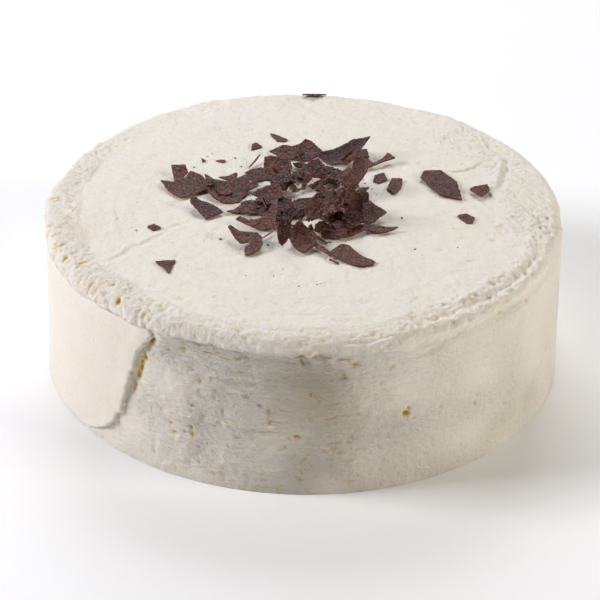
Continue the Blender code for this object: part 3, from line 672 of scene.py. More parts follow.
class Pits(NamedTuple):
    """Torn pits: their sizes round the cake and along the run (mm), their noise, depth (mm) and painted
    yellow shade.
    """

    along: float
    across: float
    seed: int
    limits: tuple[float, float]  # from where to where in the noise a pit deepens
    depth: float
    hollow: float
    lean: float = 0.0

    def dug(self, skin: Skin, share: np.ndarray) -> tuple[np.ndarray, np.ndarray]:
        """How deep the pits are at each place, and how much painted yellow shade they get.

        Args:
            skin: the places.
            share: how much the pits count at each.

        Returns:
            The depth in mm and the painted yellow shade.
        """
        noise = skin.drawn_noise(self.along, self.across, self.seed, self.lean)
        pit = smooth_step(noise, *self.limits) * share
        return self.depth * pit, self.hollow * pit


class Zone(NamedTuple):
    """A part of the frosting: its limits in azimuth and in run (mm), and how far each fades."""

    azimuths: tuple[float, float]
    fade: float
    runs: tuple[float, float]
    run_fade: float

    def share(self, skin: Skin, run: np.ndarray) -> np.ndarray:
        """1 in the zone, fading to 0 round it, by runs that may wander."""
        return span(skin.azimuth, self.azimuths, self.fade) * span(run, self.runs, self.run_fade)


@dataclass
class Frosting:
    """The cream on the cake: its crown, its rim and its wall, with the marks of the spatula."""

    form: CakeForm
    cream: bpy.types.Material
    columns: int = 900
    crown_edge_mm: float = 86.0
    rim_edge_mm: float = 134.0
    crown_step_mm: float = 1.4
    rim_step_mm: float = 0.68
    wall_step_mm: float = 0.76
    skirt: float = 8.0 * MM
    merged_within: float = 1e-7
    on_skin: float = 1e-6
    foot_fade: float = 8.0 * MM

    # the zones of the rim and the wall that differ
    left_zone: Zone = Zone((-222.0, -108.0), 16.0, (101.0, 127.0), 7.0)
    front_zone: Zone = Zone((-128.0, -60.0), 10.0, (101.0, 122.0), 6.0)
    right_zone: Zone = Zone((-72.0, 4.0), 9.0, (99.0, 120.0), 6.0)
    streaky_zone: Zone = Zone((-24.0, 62.0), 16.0, (82.0, 122.0), 12.0)
    patch_zone: Zone = Zone((-94.5, -78.5), 4.0, (117.5, 128.5), 3.0)
    rough_left: Zone = Zone((-222.0, -108.0), 16.0, (99.0, 127.0), 7.0)
    rough_patch: Zone = Zone((-95.0, -78.0), 4.0, (117.0, 129.0), 3.0)
    back_limits: tuple[tuple[float, float], ...] = ((40.0, 146.0), (-271.0, -206.0))
    wall_starts: tuple[float, float] = (116.0, 124.0)
    left_pits: Pits = Pits(2.0, 4.6, 304, (0.5, 0.7), 0.7, 0.5, lean=0.2)
    front_pits: Pits = Pits(4.0, 2.4, 313, (0.42, 0.7), 0.7, 0.22)
    right_pits: Pits = Pits(3.4, 2.2, 323, (0.36, 0.66), 0.8, 0.28)
    wall_pits: Pits = Pits(3.4, 1.8, 404, (0.52, 0.75), 0.6, 0.42)

    # the slow unevenness of the whole, as in the solid
    rim_lump: float = 0.55 * MM
    torn_lump: float = 1.15 * MM
    rim_lump_size: float = 10.0 * MM
    rim_width: float = 15.0 * MM
    torn_left: tuple[float, float] = (-215.0, -112.0)
    torn_right: tuple[float, float] = (-75.0, -5.0)
    torn_fade: float = 12.0
    crown_swell: float = 0.7 * MM
    crown_swell_size: float = 45.0 * MM
    wall_swell: float = 0.7 * MM
    wall_swell_size: float = 34.0 * MM
    calm_radius: float = 62.0 * MM

    # the bead along the front of the rim and the hollow under it
    bead_limits: tuple[float, float] = (-150.0, -62.0)
    bead_proud: float = 0.9 * MM
    bead_below_top: float = 4.2 * MM
    bead_half_height: float = 2.6 * MM
    bead_hollow: float = 0.9 * MM
    bead_hollow_below_top: float = 10.5 * MM
    bead_hollow_half_height: float = 4.0 * MM
    bead_droop: float = 1.1 * MM

    # the groove at the front right
    groove_limits: tuple[float, float] = (-68.0, -14.0)
    groove_depth: float = 1.8 * MM
    groove_half_width: float = 2.6 * MM
    groove_inset: float = 6.6 * MM

    # the wall sunk under and beside the smear
    sunk_wall: float = 2.3 * MM
    sunk_from: float = -204.0
    sunk_edge: float = -119.0
    sunk_until: float = -92.0

    # the low mound of cream under the heap of shards
    mound_centre: tuple[float, float] = (-2.0, 4.0)
    mound_outline: tuple[tuple[float, float], ...] = (
        (-46, 13), (-35, 17), (-24, 18), (-17, 32), (-5, 45), (10, 38), (25, 41), (19, 25),
        (20, 8), (28, -9), (29, -18), (17, -23), (5, -30), (-8, -28), (-20, -13), (-32, -3),
    )  # fmt: skip
    mound_rings: tuple[tuple[float, float], ...] = ((0.3, 2.2), (0.6, 1.5), (0.95, 0.8), (1.0, 0.0))

    strokes: tuple[Stroke, ...] = tuple(Stroke(*row) for row in (
        # the thin step across the top at the left
        (((-86, -50), (-81, -46), (-78, -38), (-73, -37), (-69, -31), (-64, -28), (-60, -19), (-55, -18),
         (-51, -12)), 1.0, 0.45, 0.0, True),
        (((-84, -52), (-79, -47), (-75, -40), (-66, -33), (-61, -23), (-52, -16)), 1.4, -0.4, 0.0, True),
        # creases along the front of the top
        (((-12, -95.6), (7, -95.4)), 0.5, -0.5, 0.1, True),
        (((13, -95.6), (21, -95.2)), 0.5, -0.4, 0.1, True),
        (((28, -95.0), (32, -94.6)), 0.5, -0.35, 0.1, True),
        # the edges of the strokes at the right of the top
        (((87, 12), (96, 0), (103, -10), (108, -20)), 1.0, 0.8, 0.0, True),
        (((84, 14), (93, 1), (100, -10)), 1.1, -0.6, 0.05, True),
        (((80, 62), (86, 56), (90, 50), (92, 43), (91, 36), (89, 28), (88, 21), (83, 16)), 1.0, 0.9, 0.0,
         True),
        (((84, 62), (90, 55), (94, 47), (95, 38), (92, 28), (90, 20)), 1.3, -0.6, 0.1, True),
        (((80, 6), (88, -8), (93, -22)), 1.0, 0.6, 0.0, True),
        (((74, -2), (80, -14), (84, -28)), 1.2, -0.3, 0.0, True),
        # small pits in the top
        (((-25.6, 57), (-24, 57.2)), 0.8, -0.5, 0.2, True),
        (((55, -25.4), (57.6, -24.6)), 0.9, -0.5, 0.22, True),
        (((59, -38.6), (61.2, -37.8)), 1.0, -0.6, 0.3, True),
        (((71, -27), (73, -27)), 0.9, -0.5, 0.25, True),
        (((71.6, -48.4), (74.4, -47.6)), 0.9, -0.5, 0.22, True),
        (((40, -82), (42.2, -82)), 0.9, -0.55, 0.35, True),
        (((47, -81), (49, -80.6)), 0.8, -0.5, 0.3, True), (((-46, -59), (-44, -59)), 0.9, -0.5, 0.3, True),
        (((-52, -72.2), (-50, -71.8)), 0.9, -0.5, 0.25, True),
        (((-43, -70), (-41, -70)), 0.8, -0.45, 0.2, True),
        (((-54, -83), (-51.8, -83)), 1.0, -0.6, 0.35, True),
        (((37, -35.2), (39, -34.8)), 0.9, -0.45, 0.2, True),
        (((87, -16.4), (89.4, -15.6)), 1.0, -0.6, 0.3, True),
        (((82.8, -29.6), (85.4, -28.4)), 1.0, -0.6, 0.3, True),
        # the notch beside the largest lone shard
        (((54, 43), (56, 41), (58, 37)), 1.1, -0.7, 0.25, True),
        # slits and drag marks on the front wall
        (((-111, 127), (-106, 128), (-103, 127)), 0.7, -0.8, 0.4), (((-113, 131), (-106, 131.5)), 0.8, 0.9),
        (((-110, 137), (-98.5, 135.5)), 0.8, 0.9), (((-109, 139.5), (-99.5, 138.2)), 0.9, -0.7),
        (((-112, 144), (-102.5, 143)), 0.8, 0.9), (((-112, 146.4), (-103, 145.6)), 0.9, -0.7, 0.15),
        (((-98, 146.5), (-92, 147.5)), 0.8, 0.8), (((-106, 160), (-95.5, 158)), 0.8, 0.9),
        (((-104, 162.4), (-97, 160.8)), 0.9, -0.6, 0.15), (((-118, 155), (-110, 155.5)), 0.8, -0.5, 0.15),
        (((-100, 166), (-88, 165)), 0.9, -0.4, 0.15), (((-93, 147), (-84, 146)), 0.8, -0.5, 0.1),
        (((-113, 172), (-105, 173)), 0.6, 0.5), (((-72, 147), (-66, 146)), 0.6, 0.4),
        (((-66, 127), (-60, 125)), 0.9, -0.6, 0.2), (((-84, 152), (-76, 151)), 0.8, -0.5, 0.1),
        (((-76, 160), (-70, 159)), 0.8, -0.4, 0.1), (((-62, 141), (-55, 140)), 0.8, 0.5),
        (((-58, 168), (-52, 167)), 0.8, -0.4, 0.1), (((-48, 146), (-42, 145)), 0.8, -0.4, 0.1),
        (((-121, 132), (-116, 133)), 0.9, -0.6, 0.2), (((-119, 140), (-113, 139)), 0.9, 0.6),
        (((-116, 161), (-108, 160)), 0.8, 0.6),
    ))  # fmt: skip
    dabs: tuple[Dab, ...] = tuple(Dab(*row) for row in (
        # hollows torn in the rim at the left, with painted yellow shade in them
        (-155, 116, 0.65, 2.6, -1.05, 1.14), (-151, 111, 0.72, 2.8, -1.05, 1.04),
        (-149.4, 112.5, 0.58, 2, -0.84, 0.85), (-142.4, 116, 0.65, 3, -1.19, 1.23),
        (-140.2, 115, 0.5, 2.4, -0.98, 0.95), (-138, 110, 0.72, 1.9, -0.84, 0.85),
        (-133, 115.5, 1.15, 1.6, -1.19, 1.23), (-130.4, 124, 0.72, 2, -1.05, 1.23),
        (-124.5, 107, 1.01, 1.1, -0.7, 0.95), (-129, 109, 0.58, 1.8, -0.63, 0.57),
        (-146, 108, 0.58, 1.6, -0.63, 0.57), (-160, 113, 0.58, 2.2, -0.7, 0.57),
        (-166, 109, 0.65, 2, -0.63, 0.52), (-172, 112, 0.58, 1.8, -0.63, 0.47),
        # pits low on the front wall
        (-119, 167, 1.0, 0.8, -0.9, 0.9), (-118, 171, 1.2, 0.8, -0.8, 0.9),
        (-114, 166, 0.8, 0.9, -1.0, 1.1), (-113.6, 169, 1.0, 0.9, -0.8, 0.9),
        (-91, 162, 1.5, 0.9, -1.1, 1.2), (-92.6, 163, 0.8, 0.6, -0.7, 0.7), (-88, 161, 1.1, 0.9, 0.5, 0.25),
        (-82, 170, 1.3, 0.8, -0.6, 0.4),
        # bright blobs that end the drag marks
        (-103.5, 124, 1.5, 1.2, 0.9, 0.15), (-98.2, 135.3, 1.1, 1.0, 0.9), (-102.2, 143, 1.1, 0.9, 0.9),
        (-95.2, 158, 1.0, 0.8, 0.8), (-101, 130, 1.8, 1.0, -0.6, 0.1),
        # the torn patch under the front of the rim
        (-88.5, 118.5, 2.4, 1.6, 1.1, 0.3), (-86, 122, 4.4, 2.6, -1.2, 0.2),
        (-90, 121, 1.6, 1.2, -0.9, 0.45), (-82, 124, 2.2, 1.2, -1.0, 0.35),
        (-84.4, 123.5, 1.6, 1.4, 1.0, 0.1), (-88, 125, 1.6, 1.2, 0.8, 0.1), (-80, 127, 1.8, 1.2, -0.8, 0.4),
        # the three-cornered hole in the right of the front wall
        (-67.8, 155, 1.7, 1.5, -1.9, 1.35), (-67.2, 152.6, 0.9, 1.8, -1.2, 0.8),
        (-66, 158, 1.4, 0.9, -0.9, 0.5),
        # pits in the wall at the right
        (-79, 128, 1.4, 0.8, -0.7, 0.4), (-68.5, 133, 1.2, 0.7, -0.6, 0.35),
        (-60, 156, 0.9, 0.8, -0.6, 0.4), (-58, 151, 0.8, 0.8, -0.6, 0.45),
        (-50.6, 161, 0.8, 1.6, -0.8, 0.6), (-50, 157, 0.7, 0.9, -0.6, 0.45),
        (-43, 122, 1.4, 0.9, -0.6, 0.45), (-33.6, 125, 1.2, 1.4, -0.8, 0.6),
        (-45, 126, 1.0, 0.6, -0.4, 0.3), (-22, 162, 0.8, 1.6, -0.6, 0.5), (-25, 166, 0.9, 0.8, -0.5, 0.35),
        (-42, 178, 0.9, 0.7, -0.4, 0.3), (-38, 172, 0.8, 0.7, -0.4, 0.3),
        # pits in the front of the rim
        (-110, 118, 1.3, 0.8, -0.7, 0.3), (-108, 111, 1.0, 0.8, -0.6, 0.25),
        (-99, 113, 1.2, 0.8, -0.6, 0.25), (-84.6, 98, 1.6, 1.0, -0.6, 0.2),
        (-80, 102, 1.5, 1.0, -0.7, 0.25), (-79.5, 114, 1.4, 0.8, -0.8, 0.35),
        (-75, 113.5, 1.6, 1.2, -1.2, 0.5),
    ))  # fmt: skip

    def ring_profile(self, start_mm: float, end_mm: float, step_mm: float) -> list[tuple[float, float]]:
        """The outline between two runs.

        Args:
            start_mm: the run at which it starts.
            end_mm: the run at which it ends.
            step_mm: how far apart its points are, at most.

        Returns:
            Points as radius and height.
        """
        count = math.ceil((end_mm - start_mm) / step_mm)
        runs = [start_mm + (end_mm - start_mm) * index / count for index in range(count + 1)]
        return [self.form.outline(run * MM) for run in runs]

    def spun(self, name: str, profile: list[tuple[float, float]], looped: bool) -> bpy.types.Object:
        """Spins an outline round the cake's axis.

        Args:
            name: the new object's name.
            profile: points as radius and height.
            looped: whether the outline closes on itself, or ends on the axis at both ends.

        Returns:
            A closed mesh object.
        """
        mesh = bpy.data.meshes.new(name)
        edges = [(index, index + 1) for index in range(len(profile) - 1)]
        edges += [(len(profile) - 1, 0)] if looped else []
        mesh.from_pydata([(radius, 0.0, z) for radius, z in profile], edges, [])
        made = bpy.data.objects.new(name, mesh)
        bpy.context.scene.collection.objects.link(made)
        select_only(made)
        turn = made.modifiers.new("turn", "SCREW")
        turn.steps = turn.render_steps = self.columns
        turn.use_merge_vertices = True
        turn.merge_threshold = self.merged_within
        turn.use_smooth_shade = False
        bpy.ops.object.modifier_apply(modifier=turn.name)
        face_outwards(self.merged_within)
        return made

    def mound(self, skin: Skin) -> np.ndarray:
        """How much the crown rises under the heap of shards.

        Args:
            skin: the places.

        Returns:
            The rise at each place.
        """
        centre_x, centre_y = self.mound_centre
        corners = np.array(self.mound_outline, float) - (centre_x, centre_y)
        closed = np.vstack([corners, corners[:1]])
        share = np.linspace(0.0, 1.0, 12, endpoint=False)[:, None]
        dense = np.vstack([a + (b - a) * share for a, b in zip(closed, closed[1:])])
        turns = np.arctan2(dense[:, 1], dense[:, 0])
        order = np.argsort(turns)
        x = skin.points[:, 0] / MM - centre_x
        y = skin.points[:, 1] / MM - centre_y
        reach = np.interp(np.arctan2(y, x), turns[order], np.hypot(*dense.T)[order], period=math.tau)
        shares, heights = zip(*self.mound_rings)
        return np.interp(np.hypot(x, y) / reach, shares, heights) * MM * skin.normal_z

    def slow_relief(self, skin: Skin) -> np.ndarray:
        """The large unevenness that the solid has too.

        Args:
            skin: the places.

        Returns:
            How far each place moves out.
        """
        form = self.form
        from_corner = np.hypot(
            np.maximum(form.crown_radius - skin.r, 0.0), np.maximum(form.wall_top - skin.z, 0.0)
        )
        rim = 1.0 - smooth_step(from_corner, 0.3 * self.rim_width, self.rim_width)
        torn = self.torn(skin)
        lump = self.rim_lump + (self.torn_lump - self.rim_lump) * torn
        moved = lump * rim * lattice_noise(skin.points, self.rim_lump_size, 11)
        moved += self.wall_swell * skin.normal_r * lattice_noise(skin.points, self.wall_swell_size, 5)
        below = form.height - skin.z
        bead = self.bead_proud * hump(below, self.bead_below_top, self.bead_half_height)
        bead -= self.bead_hollow * hump(below, self.bead_hollow_below_top, self.bead_hollow_half_height)
        moved += bead * span(skin.azimuth, self.bead_limits, self.torn_fade) * skin.normal_r
        sunk = smooth_step(skin.azimuth, self.sunk_from, self.sunk_from + 20.0)
        sunk = sunk * (1.0 - smooth_step(skin.azimuth, self.sunk_edge, self.sunk_until))
        sunk = sunk * (1.0 - smooth_step(skin.z, 0.78 * form.height, 0.95 * form.height))
        moved -= self.sunk_wall * sunk * skin.normal_r
        in_groove = (form.height - skin.z) + (form.shoulder_radius - skin.r)
        groove = span(skin.azimuth, self.groove_limits, self.torn_fade)
        moved -= self.groove_depth * groove * hump(in_groove, self.groove_inset, self.groove_half_width)
        outside = smooth_step(skin.r, self.calm_radius, form.crown_radius)
        swell = lattice_noise(skin.points, self.crown_swell_size, 3)
        return moved + self.crown_swell * outside * swell * skin.normal_z

    def torn(self, skin: Skin) -> np.ndarray:
        """1 where the rim is torn, 0 where it is smooth."""
        left = span(skin.azimuth, self.torn_left, self.torn_fade)
        return np.maximum(left, span(skin.azimuth, self.torn_right, self.torn_fade))

    def rim_relief(self, skin: Skin) -> tuple[np.ndarray, np.ndarray]:
        """The crumbly drag marks of the rim, summed in mm. Each noise has its sizes in mm and its seed.

        Args:
            skin: the places.

        Returns:
            How far each place moves out, and how much painted yellow shade it gets.
        """
        run = skin.run_mm
        wandering = run + 2.2 * skin.drawn_noise(14.0, 14.0, 301)
        left = self.left_zone.share(skin, wandering)
        radial = ridged(skin.drawn_noise(2.6, 8.0, 302, lean=0.3))
        fine = ridged(skin.drawn_noise(1.9, 3.6, 303, lean=-0.2))
        crumbs = layered_noise(skin.points, 4.2 * MM, 305, 2)
        torn_bits = ridged(layered_noise(skin.points, 2.3 * MM, 306, 2))
        inner = hump(run + 1.5 * layered_noise(skin.points, 9.0 * MM, 307, 3), 102.5, 1.5)
        moved = left * (0.15 * radial + 0.28 * fine + 0.36 * crumbs + 0.42 * torn_bits + 0.5 * inner)
        depth, hollow = self.left_pits.dug(skin, left)
        moved -= depth

        front = self.front_zone.share(skin, wandering)
        level = ridged(skin.drawn_noise(11.0, 2.6, 311, lean=0.3))
        rough = ridged(skin.drawn_noise(3.4, 2.2, 312))
        moved += front * (0.24 * level + 0.34 * rough)
        ragged_run = run + 1.7 * layered_noise(skin.points, 7.0 * MM, 314, 3)
        under = smooth_step(ragged_run, 118.6, 120.6) * (1.0 - smooth_step(run, 122.0, 146.0))
        moved -= 0.75 * span(skin.azimuth, (-128.0, -66.0), 10.0) * under
        depth, pitted = self.front_pits.dug(skin, front)
        moved -= depth
        hollow = np.maximum(hollow, pitted)

        right = self.right_zone.share(skin, wandering)
        lumps = ridged(layered_noise(skin.points, 4.6 * MM, 321, 2))
        bits = ridged(layered_noise(skin.points, 2.3 * MM, 322, 2))
        moved += right * (0.55 * lumps + 0.5 * bits)
        depth, pitted = self.right_pits.dug(skin, right)
        moved -= depth
        hollow = np.maximum(hollow, pitted)

        streaky = self.streaky_zone.share(skin, wandering)
        drags = ridged(skin.drawn_noise(3.6, 12.0, 331, lean=1.0))
        light = ridged(skin.drawn_noise(2.0, 5.0, 332, lean=1.2))
        moved += streaky * (0.42 * drags + 0.4 * light + 0.3 * bits)

        back = sum(span(skin.azimuth, limits, 8.0) for limits in self.back_limits)
        back = np.clip(back, 0.0, 1.0) * span(wandering, (100.0, 120.0), 7.0)
        moved += back * (0.34 * ridged(skin.drawn_noise(5.0, 3.0, 341)))
        moved += back * 0.24 * ridged(skin.drawn_noise(2.2, 2.2, 342))
        return moved * MM, hollow

    def wall_relief(self, skin: Skin) -> tuple[np.ndarray, np.ndarray]:
        """The level drag marks and pits of the wall in mm, strongest at the front where it is torn.

        Args:
            skin: the places.

        Returns:
            How far each place moves out, and how much painted yellow shade it gets.
        """
        run, form = skin.run_mm, self.form
        on_wall = smooth_step(run, *self.wall_starts)
        rough = 0.3 + 0.7 * span(skin.azimuth, (-132.0, -66.0), 16.0)
        level = lattice_noise(skin.points * (1.0, 1.0, 7.0), 13.0 * MM, 401)
        fine = lattice_noise(skin.points * (1.0, 1.0, 5.0), 5.0 * MM, 402)
        lumps = layered_noise(skin.points, 8.0 * MM, 403, 2)
        small = layered_noise(skin.points, 3.0 * MM, 405, 1)
        uneven = 0.75 + 0.6 * lattice_noise(skin.points, 24.0 * MM, 408)
        moved = on_wall * rough * uneven * (0.28 * level + 0.28 * fine + 0.42 * lumps + 0.26 * small)
        depth, hollow = self.wall_pits.dug(skin, on_wall * rough)
        moved -= depth

        # a groove beside the smear's torn edge, with painted yellow shade where the edge's shadow falls
        edge = Smear(form, self.cream).plain_edge(skin.z)
        past_edge = np.radians(skin.azimuth - edge) * skin.r / MM
        band = hump(past_edge, 0.9, 1.5) * smooth_step(skin.z, 26.0 * MM, 44.0 * MM)
        band *= 1.0 - smooth_step(skin.z, 70.0 * MM, 75.0 * MM)
        ragged = layered_noise(skin.points, 2.6 * MM, 406, 3)
        moved -= 1.1 * band * (0.8 + ragged)
        hollow = np.maximum(hollow, band * np.clip(0.75 + 1.3 * ragged, 0.0, 1.7))

        patch = self.patch_zone.share(skin, run)
        lumpy = ridged(layered_noise(skin.points, 2.8 * MM, 407, 2))
        moved += 0.7 * patch * lumpy
        hollow = np.maximum(hollow, patch * smooth_step(-lumpy, 0.1, 0.8) * 0.55)
        return moved * MM, hollow

    def texture(self, skin: Skin) -> tuple[np.ndarray, np.ndarray, np.ndarray]:
        """How crumbly, how darkened by painted shade and how dragged the cream is at each place, from 0 to 1.

        Args:
            skin: the places.

        Returns:
            The three shares, for the material to read.
        """
        run = skin.run_mm
        wandering = run + 2.2 * skin.drawn_noise(14.0, 14.0, 301)
        wall = smooth_step(run, *self.wall_starts)
        front = span(skin.azimuth, (-132.0, -62.0), 18.0)
        patchy = 0.85 + (0.2 + 0.4 * wall) * lattice_noise(skin.points, 15.0 * MM, 701)
        rough = np.clip((0.48 + wall * (0.05 + 0.42 * front)) * patchy, 0.15, 1.2)
        bands = (
            0.9 * self.rough_left.share(skin, wandering),
            0.85 * self.front_zone.share(skin, wandering),
            0.6 * self.right_zone.share(skin, wandering),
            0.65 * self.streaky_zone.share(skin, wandering),
            self.rough_patch.share(skin, run),
        )
        for band in bands:
            rough = np.maximum(rough, band)
        # painted shade: the front of the wall is darkened towards grey-beige, most at azimuth -87.5, where
        # the lamps leave it in shade
        core = hump(skin.azimuth, -87.5, 8.0) * (1.0 - 0.8 * smooth_step(run, 146.0, 172.0))
        shade = 0.06 * span(skin.azimuth, (-124.0, -70.0), 20.0) + 0.72 * core
        wear_and_painted_shade = wall * shade * smooth_step(run, 122.0, 134.0)
        drag = wall * (0.75 + 0.55 * front) * patchy
        return rough, wear_and_painted_shade, drag

    def crown_relief(self, skin: Skin) -> np.ndarray:
        """The faint grain and the arcs of the spatula on the top.

        Args:
            skin: the places.

        Returns:
            How far each place moves out.
        """
        on_top = 1.0 - smooth_step(skin.run_mm, 100.0, 112.0)
        grain = layered_noise(skin.points, 5.0 * MM, 501, 2)
        patches = lattice_noise(skin.points, 14.0 * MM, 503)
        arcs = skin.drawn_noise(60.0, 4.0, 502)
        return on_top * (0.36 * grain + 0.28 * patches + 0.14 * arcs) * MM

    def marks(self, skin: Skin) -> tuple[np.ndarray, np.ndarray]:
        """The single ridges, cuts, blobs and pits.

        Args:
            skin: the places.

        Returns:
            How far each place moves out, and how much painted yellow shade it gets.
        """
        moved = np.zeros(len(skin.r))
        hollow = np.zeros(len(skin.r))
        ragged = 1.0 + 0.4 * layered_noise(skin.points, 3.0 * MM, 601, 2)
        for stroke in self.strokes:
            path = np.array([self.stroke_point(stroke, *place) for place in stroke.path])
            gap = way_to_path(skin.points, path) * ragged / (stroke.half_width * MM)
            shape = np.exp(-gap * gap)
            moved += stroke.height * MM * shape
            hollow = np.maximum(hollow, stroke.hollow * shape)
        for dab in self.dabs:
            across = (skin.run_mm - dab.run) / dab.across
            along = np.radians(skin.azimuth - dab.azimuth) * np.maximum(skin.r, 1e-6) / MM / dab.along
            gap = np.hypot(across, along) * ragged
            shape = np.exp(-(gap**2.6))
            moved += dab.height * MM * shape
            hollow = np.maximum(hollow, dab.hollow * shape)
        return moved, hollow

    def stroke_point(self, stroke: Stroke, first: float, second: float) -> Vector:
        """The point of the plain skin for one place of a stroke's path.

        Args:
            stroke: the stroke.
            first: its azimuth, or its X in mm.
            second: its run, or its Y in mm.

        Returns:
            The point.
        """
        if stroke.flat:
            return Vector((first * MM, second * MM, self.form.height))
        return self.form.place(first, second)

    def frost(self, made: bpy.types.Object) -> None:
        """Moves the outer skin of a spun piece by the spatula's marks, and writes how much painted shade each
        place gets.

        Args:
            made: the piece, as it was spun.
        """
        base = coordinates(made)
        form = self.form
        r, z = np.hypot(base[:, 0], base[:, 1]), base[:, 2]
        near = self.on_skin
        on_wall = (np.abs(r - form.wall_radius(z)) < near) & (z <= form.wall_top + near)
        out_r, out_z = r - form.crown_radius, z - form.wall_top
        on_shoulder = np.abs(np.hypot(out_r, out_z) - form.shoulder_round) < near
        on_shoulder &= (out_r > -near) & (out_z > -near)
        outer = on_wall | on_shoulder | (z > form.height - near)
        skin = Skin(form, base[outer])
        moved = self.slow_relief(skin) + self.mound(skin) + self.crown_relief(skin)
        hollow = np.zeros(len(skin.r))
        for more, pitted in (self.rim_relief(skin), self.wall_relief(skin), self.marks(skin)):
            moved = moved + more
            hollow = np.maximum(hollow, pitted)
        moved = moved * smooth_step(skin.z, 0.0, self.foot_fade)
        droop = self.bead_droop * span(skin.azimuth, self.bead_limits, self.torn_fade)
        droop = droop * hump(form.height - skin.z, self.bead_below_top, self.bead_half_height) * skin.normal_r
        safe_r = np.maximum(skin.r, 1e-9)
        placed = skin.points.copy()
        placed[:, 0] += moved * skin.normal_r * skin.points[:, 0] / safe_r
        placed[:, 1] += moved * skin.normal_r * skin.points[:, 1] / safe_r
        placed[:, 2] += moved * skin.normal_z - droop
        placed = inside_box(placed)
        placed[:, 2] = np.where(skin.z < 1e-9, 0.0, placed[:, 2])
        points = base.copy()
        points[outer] = placed
        place_vertices(made, points)
        for name, part in zip(("hollow", "rough", "wear_and_painted_shade", "drag"), (hollow, *self.texture(skin))):
            values = np.zeros(len(base))
            values[outer] = part
            set_attribute(made, name, values)
        self.smooth_but_edges(made, base, outer)

    def smooth_but_edges(self, made: bpy.types.Object, base: np.ndarray, outer: np.ndarray) -> None:
        """Shades the skin smooth, with a sharp edge where it turns into the piece's hidden faces.

        Args:
            made: the piece.
            base: its points as it was spun.
            outer: which of them are on the skin.
        """
        mesh = made.data
        mesh.shade_smooth()
        hidden = np.zeros(len(mesh.polygons), bool)
        sizes = np.empty(len(mesh.polygons), np.int32)
        mesh.polygons.foreach_get("loop_total", sizes)
        corners = np.empty(len(mesh.loops), np.int32)
        mesh.loops.foreach_get("vertex_index", corners)
        owner = np.repeat(np.arange(len(sizes)), sizes)
        hidden[owner[~outer[corners]]] = True
        touched = np.zeros(len(base), bool)
        touched[corners[hidden[owner]]] = True
        ends = np.empty(len(mesh.edges) * 2, np.int32)
        mesh.edges.foreach_get("vertices", ends)
        ends = ends.reshape(-1, 2)
        sharp = (touched & outer)[ends].all(axis=1)
        layer = mesh.attributes.get("sharp_edge") or mesh.attributes.new("sharp_edge", "BOOLEAN", "EDGE")
        layer.data.foreach_set("value", sharp)

    def build(self) -> list[bpy.types.Object]:
        """Builds the frosting.

        Returns:
            Its crown, rim and wall.
        """
        form = self.form
        crown_line = self.ring_profile(0.0, self.crown_edge_mm, self.crown_step_mm)
        crown_r, crown_z = crown_line[-1]
        crown_line += [(crown_r, crown_z - self.skirt), (0.0, crown_z - self.skirt)]
        rim_line = self.ring_profile(self.crown_edge_mm, self.rim_edge_mm, self.rim_step_mm)
        rim_r, rim_z = rim_line[-1]
        rim_line += [(rim_r - self.skirt, rim_z), (crown_r, crown_z - self.skirt)]
        wall_line = self.ring_profile(self.rim_edge_mm, form.foot_run / MM, self.wall_step_mm)
        wall_line = [(0.0, rim_z), *wall_line, (0.0, 0.0)]
        pieces = []
        for name, line, looped in (
            ("frosting_crown", crown_line, False),
            ("frosting_rim", rim_line, True),
            ("frosting_wall", wall_line, False),
        ):
            made = self.spun(name, line, looped)
            self.frost(made)
            pieces.append(finished(made, self.cream, "cake"))
        return pieces


